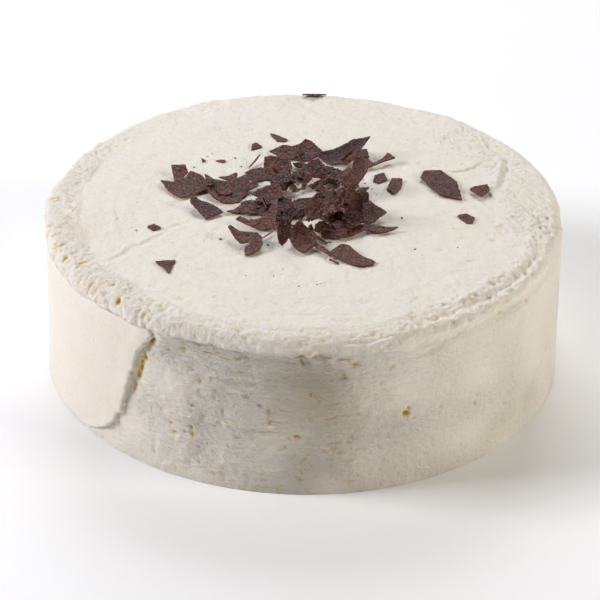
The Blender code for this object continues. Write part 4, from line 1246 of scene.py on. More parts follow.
@dataclass
class Smear:
    """The smooth smear on the wall at the left, a curved sheet with a torn right edge."""

    form: CakeForm
    cream: bpy.types.Material
    start: float = -204.0
    end: float = -123.0
    slant: float = 12.0
    corner: float = 10.0
    corner_height: float = 22.0 * MM
    foot: float = 1.0 * MM
    top: float = 71.5 * MM
    proud: float = 0.3 * MM
    depth: float = 6.0 * MM
    sunk_top: float = 1.6 * MM
    columns: int = 230
    rows: int = 110
    foot_fade: float = 8.0 * MM
    torn_mm: float = 1.1
    feathered: float = 0.9 * MM
    rough: float = 0.16
    # how much of the front wall's painted shade colour the smear takes, all over
    wear_and_painted_shade: float = 0.2

    def plain_edge(self, z: np.ndarray) -> np.ndarray:
        """The azimuth of the right edge at each height, before it is torn."""
        low = np.maximum(0.0, 1.0 - z / self.corner_height)
        return self.end - self.slant * (1.0 - z / self.top) - self.corner * low * low

    def build(self) -> bpy.types.Object:
        """Builds the smear.

        Returns:
            A closed sheet whose root is inside the wall.
        """
        deselect()
        bpy.ops.mesh.primitive_grid_add(x_subdivisions=self.columns, y_subdivisions=self.rows, size=2.0)
        made = bpy.context.view_layer.objects.active
        made.name = made.data.name = "smear"
        bpy.ops.object.mode_set(mode="EDIT")
        bpy.ops.mesh.select_all(action="SELECT")
        bpy.ops.mesh.extrude_region_move(TRANSFORM_OT_translate={"value": (0.0, 0.0, -1.0)})
        face_outwards()
        flat = coordinates(made)
        along, up, inner = 0.5 + 0.5 * flat[:, 0], 0.5 + 0.5 * flat[:, 1], flat[:, 2] < -0.5
        z = self.foot + (self.top - self.foot) * up
        edge = self.plain_edge(z)
        heights = np.column_stack([np.zeros(len(z)), np.zeros(len(z)), z])
        torn = layered_noise(heights, 7.0 * MM, 701, 4)
        edge += self.torn_mm * torn
        near_edge = smooth_step(along, 0.99, 1.0)
        azimuth = np.radians(self.start + (edge - self.start) * along)
        round_cake = SKIN_RADIUS_MM * MM
        plain = np.column_stack([np.cos(azimuth) * round_cake, np.sin(azimuth) * round_cake, z])
        swell = 0.35 * lattice_noise(plain, 30.0 * MM, 702) + 0.16 * lattice_noise(plain, 9.0 * MM, 703)
        lip = 0.5 * smooth_step(along, 0.93, 0.985) * (1.0 + 0.8 * lattice_noise(plain, 6.0 * MM, 704))
        uneven = (swell + lip - 0.5) * MM * smooth_step(z, 0.0, self.foot_fade)
        radius = self.form.wall_radius(z) + self.proud + uneven
        radius -= self.sunk_top * smooth_step(z, 0.84 * self.top, self.top)
        radius -= self.feathered * near_edge * near_edge
        radius -= self.feathered * (1.0 - smooth_step(along, 0.0, 0.06))
        radius = np.where(inner, radius - self.depth, radius)
        points = np.column_stack([np.cos(azimuth) * radius, np.sin(azimuth) * radius, z])
        place_vertices(made, inside_box(points))
        for name, value in (("hollow", 0.0), ("rough", self.rough), ("wear_and_painted_shade", self.wear_and_painted_shade)):
            set_attribute(made, name, np.full(len(points), value))
        made.data.shade_smooth()
        return finished(made, self.cream, "cake")


class Lip(NamedTuple):
    """A bead of cream along a path of azimuth, radius and height in mm, and its half thickness in mm."""

    thickness: float
    path: tuple[tuple[float, float, float], ...]


@dataclass
class Lips:
    """The beads of cream that the spatula left where a stroke ended."""

    cream: bpy.types.Material
    rows: tuple[Lip, ...] = (
        # the tongue and the stroke at the right of the top, the lip in front, the lip at the right
        Lip(1.25, ((52, 112.5, 76.0), (44, 110.5, 76.1), (38, 107.5, 76.1), (33, 101, 76.1), (28, 92, 76.1),
                   (25, 82, 76.0), (29, 74, 75.6))),
        Lip(0.9, ((31, 104, 75.9), (24, 99, 76.1), (17, 93, 76.1), (12, 87, 75.7))),
        Lip(1.4, ((-90, 115.8, 75.0), (-84, 117.0, 73.4), (-77, 117.6, 72.6), (-72, 117.2, 73.6),
                  (-69, 115.0, 75.6))),
        Lip(1.2, ((-14, 112.5, 76.0), (-9, 115.8, 75.0), (-5, 117.0, 72.0))),
    )  # fmt: skip
    end_share: float = 0.4
    merged_within: float = 1e-6
    uneven: float = 0.6 * MM
    lump: float = 3.4 * MM
    rough: float = 0.6

    def bead(self, name: str, row: Lip) -> bpy.types.Object:
        """Lays one bead.

        Args:
            name: the new object's name.
            row: its path and thickness.

        Returns:
            A closed, uneven bead.
        """
        curve = bpy.data.curves.new(name, "CURVE")
        curve.dimensions = "3D"
        curve.bevel_depth = row.thickness * MM
        curve.bevel_resolution = 5
        curve.use_fill_caps = True
        curve.resolution_u = 24
        spline = curve.splines.new("NURBS")
        spline.points.add(len(row.path) - 1)
        for point, (azimuth, radius, height) in zip(spline.points, row.path):
            turn = math.radians(azimuth)
            point.co = (radius * MM * math.cos(turn), radius * MM * math.sin(turn), height * MM, 1.0)
            point.radius = 1.0
        for end in (spline.points[0], spline.points[-1]):
            end.radius = self.end_share
        spline.order_u = 3
        spline.use_endpoint_u = True
        made = bpy.data.objects.new(name, curve)
        bpy.context.scene.collection.objects.link(made)
        select_only(made)
        bpy.ops.object.convert(target="MESH")
        made = bpy.context.view_layer.objects.active
        face_outwards(self.merged_within)
        return made

    def build(self) -> bpy.types.Object:
        """Builds the beads.

        Returns:
            All of them in one piece.
        """
        made = joined("rim_lips", [self.bead(f"lip_{number}", row) for number, row in enumerate(self.rows)])
        points = coordinates(made)
        normals = np.empty(len(points) * 3)
        made.data.vertex_normals.foreach_get("vector", normals)
        uneven = self.uneven * layered_noise(points, self.lump, 801, 3)
        points = points + normals.reshape(-1, 3) * uneven[:, None]
        place_vertices(made, inside_box(points))
        for name, value in (("hollow", 0.0), ("rough", self.rough)):
            set_attribute(made, name, np.full(len(points), value))
        made.data.shade_smooth()
        return finished(made, self.cream, "cake")


# The chocolate


class Form(Enum):
    """Outlines of the plainer shards, one unit long in X and one wide in Y."""

    SLAB = ((-0.5, -0.32), (0.34, -0.5), (0.5, 0.28), (0.1, 0.4), (-0.4, 0.5))
    BLADE = ((-0.5, -0.3), (-0.1, -0.5), (0.26, -0.24), (0.5, 0.16), (0.2, 0.34), (-0.36, 0.5))
    LEAF = ((-0.5, -0.12), (-0.12, -0.5), (0.32, -0.34), (0.5, 0.14), (0.12, 0.5), (-0.3, 0.38))
    TRIANGLE = ((-0.5, 0.42), (0.16, -0.5), (0.5, 0.5))


class Shard(NamedTuple):
    """A broken plate of chocolate, its corners as seen, in mm to the right of the top's middle and up."""

    corners: tuple[tuple[float, float], ...]
    roll: float = 0.0  # the back side up
    pitch: float = 0.0  # the right end up
    grain: float = 0.0  # how far its own length is turned from the right towards the back
    bends: tuple[float, float] = (0.0, 0.0)  # curled up along its length and across its width
    tone: float = 0.0  # how much duller and paler its face is


class Chip(NamedTuple):
    """A smaller shard of a plain form: its place, its size and how it is turned, in mm and degrees."""

    form: Form
    place: tuple[float, float]
    size: tuple[float, float]
    heading: float = 0.0
    pitch: float = 0.0
    roll: float = 0.0
    bends: tuple[float, float] = (0.0, 0.0)
    tone: float = 0.0


class Ground:
    """Meshes that a shard can come to rest on."""

    def __init__(self, points: list[Vector], faces: list[tuple[int, ...]]) -> None:
        """Makes the mesh ready for rays.

        Args:
            points: its corners.
            faces: the corners of each face.
        """
        self.points = points
        self.faces = faces
        self.tree = BVHTree.FromPolygons(points, faces)

    @classmethod
    def of_object(cls, made: bpy.types.Object) -> "Ground":
        """The ground that a mesh object makes."""
        points = [vert.co.copy() for vert in made.data.vertices]
        return cls(points, [tuple(face.vertices) for face in made.data.polygons])


@dataclass
class Plate:
    """The plain form of a shard, as the solid has it, by which it finds its place."""

    row: Shard | Chip
    thick: float
    points: list[Vector] = field(default_factory=list)
    faces: list[tuple[int, ...]] = field(default_factory=list)
    matrix: Matrix = field(default_factory=lambda: Matrix.Identity(4))

    strong_bend: float = 28.0
    slight_bend: float = 8.0
    seen_from: float = math.radians(28.9)  # how far above the level the outlines were seen from
    first_rise: float = 1.5 * MM
    rounds: int = 8

    def cuts(self, bend: float) -> tuple[float, ...]:
        """Where the plate is cut to bend it, as shares of its side.

        Args:
            bend: how far the side is bent, in degrees.

        Returns:
            The places of the cuts.
        """
        if bend > self.strong_bend:
            return (-0.17, 0.17)
        return (0.0,) if bend > self.slight_bend else ()

    def turn(self) -> Matrix:
        """How the plate is turned from flat.

        Returns:
            The turn.
        """
        tilt = Euler((math.radians(self.row.roll), math.radians(-self.row.pitch), 0.0)).to_matrix()
        if isinstance(self.row, Chip):
            return Matrix.Rotation(math.radians(self.row.heading), 3, "Z") @ tilt
        return tilt @ Matrix.Rotation(math.radians(self.row.grain), 3, "Z")

    def middle(self) -> list[float]:
        """The middle of the box round the corners as seen."""
        return [0.5 * (min(values) + max(values)) for values in zip(*self.row.corners)]

    def outline(self) -> list[tuple[float, float]]:
        """The outline of the plate as it lies flat before it is turned, in metres.

        Returns:
            Its corners.
        """
        if isinstance(self.row, Chip):
            return [(x * self.row.size[0] * MM, y * self.row.size[1] * MM) for x, y in self.row.form.value]
        turn = self.turn()
        up = Vector((0.0, math.sin(self.seen_from), math.cos(self.seen_from)))
        along, across = turn.col[0], turn.col[1]
        shown = Matrix(((along.x, across.x), (along.dot(up), across.dot(up)))).inverted()
        middle = Vector(self.middle())
        return [tuple(shown @ (Vector(corner) - middle) * MM) for corner in self.row.corners]

    def over(self, rise: float) -> Vector:
        """Where the plate's middle is over the cake when it is this far above its top.

        Args:
            rise: the height over the cake's top.

        Returns:
            The place, at height 0.
        """
        if isinstance(self.row, Chip):
            return Vector((self.row.place[0] * MM, self.row.place[1] * MM, 0.0))
        right, up = (value * MM for value in self.middle())
        return Vector((right, (up - rise * math.cos(self.seen_from)) / math.sin(self.seen_from), 0.0))

    def spans(self) -> list[float]:
        """How long and how wide the flat plate is."""
        return [max(values) - min(values) for values in zip(*self.outline())]

    def build(self) -> "Plate":
        """Makes the plain plate, turned, with its middle at the origin.

        Returns:
            The plate itself.
        """
        spans = self.spans()
        made = slab_from("plate", self.outline(), self.thick)
        for axis, (side, bend) in enumerate(zip(spans, self.row.bends)):
            cut_across(made, axis, [cut * side for cut in self.cuts(bend)])
        bpy.ops.object.mode_set(mode="EDIT")
        bpy.ops.mesh.select_all(action="SELECT")
        bpy.ops.mesh.quads_convert_to_tris()
        bpy.ops.object.mode_set(mode="OBJECT")
        place_vertices(made, bent_plate(coordinates(made), spans, self.row.bends))
        self.matrix = self.turn().to_4x4()
        self.points = [self.matrix @ vert.co for vert in made.data.vertices]
        self.faces = [tuple(face.vertices) for face in made.data.polygons]
        bpy.data.objects.remove(made)
        return self

    def shift(self, way: Vector) -> None:
        """Moves the plate."""
        self.points = [point + way for point in self.points]
        self.matrix = Matrix.Translation(way) @ self.matrix

    def clearance(self, ground: Ground) -> float:
        """How far the plate can be lowered before it meets the ground.

        Args:
            ground: what it is over.

        Returns:
            The drop.
        """
        under, over = Vector((0, 0, -1)), Vector((0, 0, 1))
        tree = BVHTree.FromPolygons(self.points, self.faces)
        clear = [1.0]
        for point in self.points:
            hit = ground.tree.ray_cast(point + over, under)[0]
            if hit:
                clear.append(point.z - hit.z)
        middle = sum(self.points, Vector()) / len(self.points)
        reach = max((point - middle).xy.length for point in self.points)
        for point in ground.points:
            hit = tree.ray_cast(point - over, over)[0] if (point - middle).xy.length < reach else None
            if hit:
                clear.append(hit.z - point.z)
        return min(clear)

    def lay(self, top: float, grounds: list[tuple[Ground, float]]) -> None:
        """Sets the plate down where it is seen to lie.

        Args:
            top: the height of the cake's top.
            grounds: what it comes to rest on, each with how far over it the plate stays.
        """
        at, rise = Vector((0.0, 0.0, 0.0)), self.first_rise
        for _ in range(self.rounds):
            over = self.over(rise)
            over.z = at.z
            self.shift(over - at)
            drop = min(self.clearance(ground) - gap for ground, gap in grounds)
            at = over - Vector((0.0, 0.0, drop))
            self.shift(at - over)
            rise = 0.5 * (rise + at.z - top)

    def push(self, heap: Ground, towards: Vector, step: float) -> None:
        """Pushes a plate that lies beside the heap inwards until it is well into it.

        Args:
            heap: what it is pushed into.
            towards: the middle of the heap.
            step: how far each push moves it.
        """
        here = self.matrix.translation
        inwards = (Vector((towards.x, towards.y, 0.0)) - Vector((here.x, here.y, 0.0))).normalized()
        while not BVHTree.FromPolygons(self.points, self.faces).overlap(heap.tree):
            self.shift(inwards * step)
        self.shift(inwards * step)


def slab_from(name: str, corners: list[tuple[float, float]], thick: float) -> bpy.types.Object:
    """A flat slab of an outline, through the middle of which Z is 0.

    Args:
        name: the new object's name.
        corners: the outline in X and Y.
        thick: how thick it is.

    Returns:
        A closed mesh object.
    """
    deselect()
    bpy.ops.mesh.primitive_circle_add(vertices=len(corners), radius=1.0, fill_type="NGON")
    made = bpy.context.view_layer.objects.active
    made.name = name
    points = coordinates(made)
    order = np.argsort(np.arctan2(points[:, 1], points[:, 0]))
    placed = np.zeros_like(points)
    placed[order] = [(x, y, -0.5 * thick) for x, y in corners]
    place_vertices(made, placed)
    bpy.ops.object.mode_set(mode="EDIT")
    bpy.ops.mesh.select_all(action="SELECT")
    bpy.ops.mesh.extrude_region_move(TRANSFORM_OT_translate={"value": (0.0, 0.0, thick)})
    face_outwards()
    return made


def cut_across(made: bpy.types.Object, axis: int, places: list[float]) -> None:
    """Cuts a slab's faces along planes across one axis, so that it can be bent there.

    Args:
        made: the slab.
        axis: 0 for X, 1 for Y.
        places: where the planes are.
    """
    bpy.ops.object.mode_set(mode="EDIT")
    normal = (1.0, 0.0, 0.0) if axis == 0 else (0.0, 1.0, 0.0)
    for place in places:
        bpy.ops.mesh.select_all(action="SELECT")
        at = (place, 0.0, 0.0) if axis == 0 else (0.0, place, 0.0)
        bpy.ops.mesh.bisect(plane_co=at, plane_no=normal, threshold=0.01 * MM)
    bpy.ops.object.mode_set(mode="OBJECT")


def bent_plate(points: np.ndarray, spans: list[float], bends: tuple[float, float]) -> np.ndarray:
    """The points of a flat plate after it is bent up along its length and across its width.

    Args:
        points: the flat plate's points.
        spans: how long and how wide it is.
        bends: how far each is bent, in degrees.

    Returns:
        The bent plate's points.
    """
    moved = points.copy()
    for axis, (side, bend) in enumerate(zip(spans, bends)):
        if not bend:
            continue
        radius = side / math.radians(bend)
        turn = moved[:, axis] / radius
        inner = radius - moved[:, 2]
        moved[:, axis] = inner * np.sin(turn)
        moved[:, 2] = radius - inner * np.cos(turn)
    return moved


@dataclass
class Chocolate:
    """The shards, flakes and crumbs of chocolate."""

    form: CakeForm
    finish: bpy.types.Material
    shard_thick: float = 1.3 * MM
    flake_thick: float = 1.1 * MM
    shown_thick: float = 0.95 * MM
    nudge: float = 0.7 * MM
    flake_sunk: float = 0.35 * MM
    lone_sunk: float = 0.3 * MM
    gap: float = 0.35 * MM
    bite: float = 0.6 * MM
    seed: int = 41
    fill: int = 16
    fill_spread: tuple[float, float] = (22.0, 26.0)
    fill_centre: tuple[float, float] = (2.0, 2.0)
    core_centre: tuple[float, float] = (-2.0, 4.0)
    core_outline: tuple[tuple[float, float], ...] = Frosting.mound_outline
    core_rings: tuple[tuple[float, float], ...] = ((1.0, 0.0), (0.95, 0.8), (0.6, 1.5), (0.3, 2.2))
    core_uneven: tuple[float, float] = (0.8, 1.2)
    edge_step: float = 0.9 * MM
    grid_step: float = 1.5 * MM
    blunt_corner: float = 25.0
    notches: float = 0.05
    notch_depth: tuple[float, float] = (0.2, 0.45)
    edge_wander: tuple[float, float] = (-0.13, 0.1)
    edge_band: tuple[float, float] = (0.02 * MM, 0.3 * MM)
    worn_width: float = 0.14 * MM
    worn_angle: float = math.radians(50.0)
    smooth_angle: float = math.radians(40.0)
    tone_spread: float = 0.3
    forms: tuple[Form, ...] = (Form.SLAB, Form.LEAF, Form.BLADE, Form.TRIANGLE)

    heap: dict[str, Shard] = field(default_factory=lambda: {
        "left_wing": Shard( ((-66.4, 10.2), (-60, 9.7), (-55, 12.2), (-53.2, 14.8), (-47.4, 12.6),
            (-45, 9.4), (-43.6, 6.4), (-50, 4.4), (-56.4, 2.3), (-61, 4.6), (-64, 7.4)), roll=5,
            bends=(12, 14), tone=0.25),
        "left_dark": Shard( ((-52, 3.2), (-50.6, 3.6), (-46.6, 1.4), (-43.6, 0.6), (-40, -1), (-36.6, -3.4),
            (-40.2, -5), (-44.2, -7), (-48, -3), (-51.8, 0.6)), roll=14, bends=(0, 14), tone=-0.2),
        "left_sliver": Shard( ((-40, 12.4), (-36, 13), (-32.2, 14.6), (-31.2, 13.8), (-31.6, 11.4),
            (-33.4, 10.4), (-36, 11.4)), roll=14, bends=(20, 0)),
        "left_bowl": Shard( ((-46.2, 12.2), (-42, 10.6), (-38, 10.4), (-34, 10.2), (-31, 11.4),
            (-27.6, 12.4), (-25.4, 9.8), (-24.6, 7.4), (-26, 5), (-28, 2.2), (-29.6, -0.4), (-33, -0.4),
            (-37, 0.2), (-41, 2.2), (-44.4, 5), (-45, 8)), roll=12, bends=(34, 26), tone=0.05),
        "left_fold": Shard( ((-40.6, 7.8), (-38.4, 8.2), (-36, 7.6), (-32.8, 7.8), (-33, 4.9), (-36, 4.3),
            (-39.6, 4.8)), roll=16, bends=(26, 14), tone=0.2),
        "left_square": Shard(((-62.2, 17.8), (-55.6, 17.8), (-54, 14.6), (-58, 10.4), (-60.2, 10)), roll=22,
            bends=(0, 10), tone=0.45),
        "left_twig": Shard(((-35.2, -3), (-32, -2.4), (-29.4, -0.6), (-27, -0.8), (-27.6, -3.2), (-31, -4)),
            roll=10),
        "back_dark": Shard(((-28.6, 13.6), (-23, 14.6), (-18.6, 15.2), (-19, 11.6), (-23, 10.6), (-27, 12)),
            roll=14, tone=-0.4),
        "back_small": Shard(((-28, 14.8), (-24.4, 16.6), (-20.4, 17.6), (-18.6, 16.4), (-20.6, 14.8),
            (-25, 14)), roll=22, bends=(14, 0)),
        "back_chip": Shard(((25.2, 27), (29, 27.2), (30, 23.2), (24.6, 22.4), (22.6, 24)), roll=8),
        "back_chunk": Shard(((22.6, 21), (25, 22.6), (29.6, 22), (32, 20), (29, 18.6), (24, 18.4)),
            roll=12),
        "back_splinter": Shard( ((38.6, 25.2), (42, 22.8), (36, 21), (32, 19.2), (27.6, 17.2), (26.4, 18),
            (31, 20), (36, 22.6)), roll=12, bends=(10, 0)),
        "right_speck": Shard(((22.6, 6.2), (25.4, 8.6), (29.6, 9), (27.4, 6.6), (25, 5)), roll=16),
        "right_splinter": Shard(((24.4, -8.2), (32, -8.4), (36, -9), (42, -9.4), (37.4, -10.9),
            (32.6, -11.7), (27, -10.4)), roll=14, bends=(12, 0)),
        "right_torn": Shard( ((25, 1.8), (28, 3), (30, 2), (32.4, 0.2), (35, -1), (37, -2.6), (34, -4.6),
            (31.4, -7.2), (28.6, -8), (25.4, -5), (24.6, -1)), roll=24, bends=(0, 14), tone=-0.3),
        "front_twig": Shard(((4, -15.6), (7, -17), (10.4, -19.4), (12.4, -21.2), (8, -19.8), (4.4, -17.4)),
            roll=8),
        "hollow_left": Shard(((-13.6, 3), (-6.2, 2.6), (-5.2, -0.8), (-7, -3), (-11, -5), (-13.6, -2)),
            roll=10, tone=-0.5),
        "hollow_front": Shard(((-12.4, -4.8), (-9, -3.6), (-5, -2.4), (-2.8, -3.2), (-5.6, -6.2),
            (-9.4, -7), (-12.8, -6.8)), roll=30, bends=(0, 16), tone=-0.4),
        "lower_left": Shard( ((-28.8, 0.8), (-26.6, 1.8), (-20, 2), (-18.2, 0), (-17.6, -2.6),
            (-19.6, -4.6), (-24, -4), (-28.4, -3.6), (-29, -1)), roll=18, bends=(0, 12)),
        "middle_left": Shard( ((-21, 13.4), (-14, 13.8), (-8, 15.4), (-5.8, 13), (-7.4, 10.4), (-11, 10),
            (-15, 10.8), (-19, 11)), roll=20, bends=(10, 12)),
        "back_gloss": Shard(((-6, 19.6), (-2, 20.2), (1.4, 19), (1.2, 16.6), (-2, 17.6), (-4.6, 18)),
            roll=34, bends=(26, 0)),
        "back_slab": Shard( ((-19.6, 14.4), (-19, 22.2), (-16, 23), (-9.6, 21.8), (-6.6, 20.2), (-6, 17.6),
            (-7.2, 15), (-13, 14.2)), roll=30, bends=(0, 12), tone=0.05),
        "back_hood": Shard(((-2.6, 15.6), (0, 18.6), (3, 21), (6.4, 21.8), (8, 19.6), (7.4, 16),
            (3.6, 14.2), (-0.6, 13.6)), roll=30, pitch=6, bends=(30, 20), tone=-0.15),
        "back_wing": Shard( ((-17, 24.8), (-13.6, 26.6), (-10.6, 28.2), (-6.6, 27.6), (-2.6, 29),
            (-0.2, 31), (2.6, 30), (5.4, 27.6), (7.8, 25.4), (8, 23.4), (2.6, 21.6), (-2, 20.6), (-6, 21.2),
            (-10, 21.4), (-14, 23.4)), roll=24, bends=(14, 16), tone=0.15),
        "back_blade": Shard( ((30.4, 33), (25, 31.9), (22.4, 31.6), (18, 29), (14, 27), (10.6, 26),
            (7, 25.2), (6, 23), (8.6, 20.8), (12, 19.4), (17, 19.2), (20.6, 21), (24, 24.4), (27, 28)),
            roll=26, pitch=10, grain=24, bends=(6, 34), tone=-0.1),
        "blade_fold": Shard(((15.8, 19.4), (19.4, 19.6), (24, 23.4), (26.4, 27), (24.6, 27), (20, 23.2)),
            roll=34, pitch=10),
        "arc_dark": Shard(((1.6, 13), (5.6, 17.4), (10, 18.2), (14, 17.2), (18.8, 15), (14, 14), (8, 12.8)),
            roll=26, bends=(30, 10), tone=-0.3),
        "arc_small": Shard(((-7, 13), (-4.6, 15.8), (-1.6, 15.8), (-1, 13), (-4, 11.6)), roll=24,
            bends=(20, 0)),
        "arc_left": Shard(((-1.8, 7), (-1.2, 10.4), (0.8, 13.4), (3.4, 15), (3.4, 12.8), (1, 10),
            (0.2, 7.6)), roll=34, bends=(10, 20)),
        "arc_lower": Shard( ((2.2, 8.6), (4.6, 10.6), (8, 12.4), (11.4, 14.2), (14.6, 15.6), (19, 15.6),
            (15.6, 13.4), (12.4, 11.8), (9, 10), (5.6, 8.2), (3.4, 7.4)), roll=32, bends=(26, 8),
            tone=-0.05),
        "curl_foot": Shard(((14.6, 12), (20.2, 16), (22, 14.2), (18.4, 9.6), (15.6, 8.6)), roll=12),
        "middle_long": Shard( ((-24.4, 4.8), (-21, 6.8), (-16, 8.8), (-11.6, 9), (-10.2, 6.6), (-10, 3),
            (-13, 2), (-17, 2.4), (-21, 3.4)), roll=24, bends=(12, 14), tone=0.1),
        "right_curl": Shard( ((16.2, 7.2), (17.4, 10.4), (19.2, 12.2), (21.4, 15), (22, 18.4), (23.6, 20.2),
            (25.2, 19.8), (27, 19.4), (28.8, 17.6), (29.2, 15), (27.8, 12), (25.8, 9), (24, 6.8),
            (20.4, 6.4)), roll=32, pitch=12, grain=52, bends=(12, 46), tone=0.35),
        "right_wing": Shard( ((12.2, -8.2), (15, -7), (19, -7.2), (23.6, -8), (27.2, -8.6), (27.2, -10.2),
            (24.4, -11.6), (21, -13.2), (16.6, -13.8)), roll=18, bends=(10, 12), tone=0.25),
        "front_chip": Shard(((7.2, -9.8), (11.4, -10.8), (14.6, -11.6), (16.8, -13.6), (12, -14.2),
            (7.8, -13.6)), roll=20, bends=(0, 10)),
        "front_bit": Shard(((5, -8.8), (6.4, -7), (9, -6.8), (11, -8.4), (12, -10.8), (8.6, -11.2),
            (6, -10.8)), roll=30, bends=(0, 14)),
        "front_bowl": Shard( ((-7.2, -13.6), (-6.2, -11.2), (-4.6, -9.4), (-3.4, -7.8), (-1.4, -7.2),
            (0.8, -9.4), (2.4, -10.8), (4.6, -11.8), (6, -14.6), (4.6, -17.6), (2, -20), (0.2, -21.6),
            (-2.4, -20.8), (-5, -18), (-6.4, -15.6)), roll=30, grain=-40, bends=(26, 44), tone=0.1),
        "front_blade": Shard( ((-12, -8.4), (-9.8, -6), (-7.2, -5.6), (-5.6, -8.6), (-5.8, -12),
            (-7.2, -15.2), (-9.6, -18.2), (-11.2, -16.4), (-11.8, -13)), roll=48, bends=(22, 14),
            tone=-0.15),
        "lower_vee": Shard( ((-30.8, -7), (-28.8, -5.6), (-25, -7.2), (-21, -6.6), (-18.6, -5.2),
            (-16, -2.6), (-14, 1), (-12, 2.6), (-11.8, -2), (-12.4, -6), (-13.2, -10), (-15, -11.4),
            (-18, -11.6), (-22, -10.4), (-26, -9)), roll=26, pitch=4, bends=(20, 18), tone=0.2),
        "tall_shell": Shard( ((20.6, 5.8), (24, 6.6), (28.4, 6.4), (28.8, 3), (26.8, 1.4), (26.4, -2),
            (27.2, -7.2), (23.4, -8), (20, -7), (16.6, -6.4), (18, -3), (19.6, 0)), roll=44, bends=(30, 20),
            tone=0.15),
        "crown_plate": Shard(((-5, 1.6), (-2.6, 3), (3.2, 3.4), (3, 0.8), (0.4, -2), (-2.4, -3.4),
            (-5.6, -1)), roll=22, bends=(10, 16), tone=0.2),
        "stack_back": Shard(((2, 1.8), (5.6, 6), (9.6, 7), (14, 6.4), (16.6, 8), (14.6, 4.4), (9, 1.4),
            (5, 1)), roll=26, bends=(20, 0), tone=-0.35),
        "stack_left": Shard(((0, -3.4), (2.4, 0.8), (5.8, 3), (9.2, 1.2), (8, -2), (4.6, -6), (1.8, -5.2)),
            roll=34, grain=30, bends=(14, 26), tone=0.1),
        "stack_ridge": Shard(((8.8, 1.8), (12.6, 4.4), (18.4, 7.4), (21, 6.8), (17, 2.8), (11, 0.2)),
            roll=32, grain=24, bends=(12, 0)),
        "stack_low": Shard(((6.2, -5.2), (8.6, -0.8), (11, -0.4), (14.8, -0.8), (13, -3.4), (9.6, -6)),
            roll=30, bends=(0, 18)),
        "stack_upper": Shard(((12, -5), (14.6, -1), (18, 3.6), (18.6, -0.6), (17.2, -4), (14.6, -6)),
            roll=38, grain=40, bends=(10, 24), tone=-0.1),
        "stack_lens": Shard(((17.8, -4.6), (18.2, -1), (19.6, 3.2), (21.2, 5.2), (22.8, 4.4), (22.8, 1.6),
            (21.4, -1.6), (19.8, -4.8)), roll=44, grain=70, bends=(10, 40)),
    })  # fmt: skip
    lone: dict[str, Shard | Chip] = field(default_factory=lambda: {
        "shard_right": Shard(((53.5, 14.1), (55.4, 16.9), (63.2, 17.6), (70.2, 12.1), (72, 3.8), (62.2, 6)),
            roll=2, bends=(4, 4)),
        "shard_front": Shard( ((11.2, -20.2), (13.4, -18.6), (15.4, -17.2), (17.4, -16.7), (20, -17.2),
            (22.4, -19.4), (25.4, -21.4), (29, -23), (31.2, -24.2), (30, -25.7), (26.6, -26.1), (22, -25.7),
            (17.6, -24), (13.6, -22)), roll=7, bends=(8, 12)),
        "shard_front_left": Shard( ((-34, -10.6), (-33, -10), (-28.6, -11.8), (-24, -12), (-20.6, -12.6),
            (-18.6, -14.4), (-18, -17), (-19.4, -19.6), (-22, -21.2), (-25.4, -22), (-26.2, -20.6),
            (-26, -18.6), (-23.6, -17.4), (-24.6, -16), (-28, -16.8), (-30.6, -14.6)), roll=14,
            bends=(40, 12)),
        "shard_back_rim": Chip(Form.LEAF, (4, 113), (12, 8), heading=3, roll=-28, bends=(0, 8)),
    })  # fmt: skip
    flakes: tuple[Shard, ...] = (
        Shard(((75.8, 8.7), (78, 9.9), (84.1, 11.2), (85, 8.6), (80.8, 5.2))),
        Shard(((69, -3.5), (73.2, -2.5), (76.9, -4.3), (75.6, -6.7), (72.9, -6.8))),
        Shard(((37.6, 8.1), (40.2, 13.2), (45.2, 12.8), (44, 8.7), (41, 6))),
        Shard(((31.4, 11.5), (32.3, 14.5), (36.4, 15.7), (38.1, 12.7), (34.1, 10.8))),
        Shard(((-64.6, -25.3), (-55.9, -24.9), (-58.3, -30), (-61, -27.6))),
        Shard(((-70.1, -10.6), (-67.4, -9.3), (-64, -10.7), (-67.1, -12.1))),
        Shard(((-17, 34), (-14.6, 33.6), (-8.6, 31.2), (-10, 30.4), (-13.6, 30.4))),
        Shard(((-25.6, 26), (-25.4, 28.8), (-23.4, 29.6), (-20.6, 27.4))),
        Shard(((-42, 20.4), (-40, 20.9), (-37.4, 20.7), (-39, 19.5))),
        Shard(((-48.8, 21.4), (-46.6, 20.2), (-48.2, 19.6))),
    )
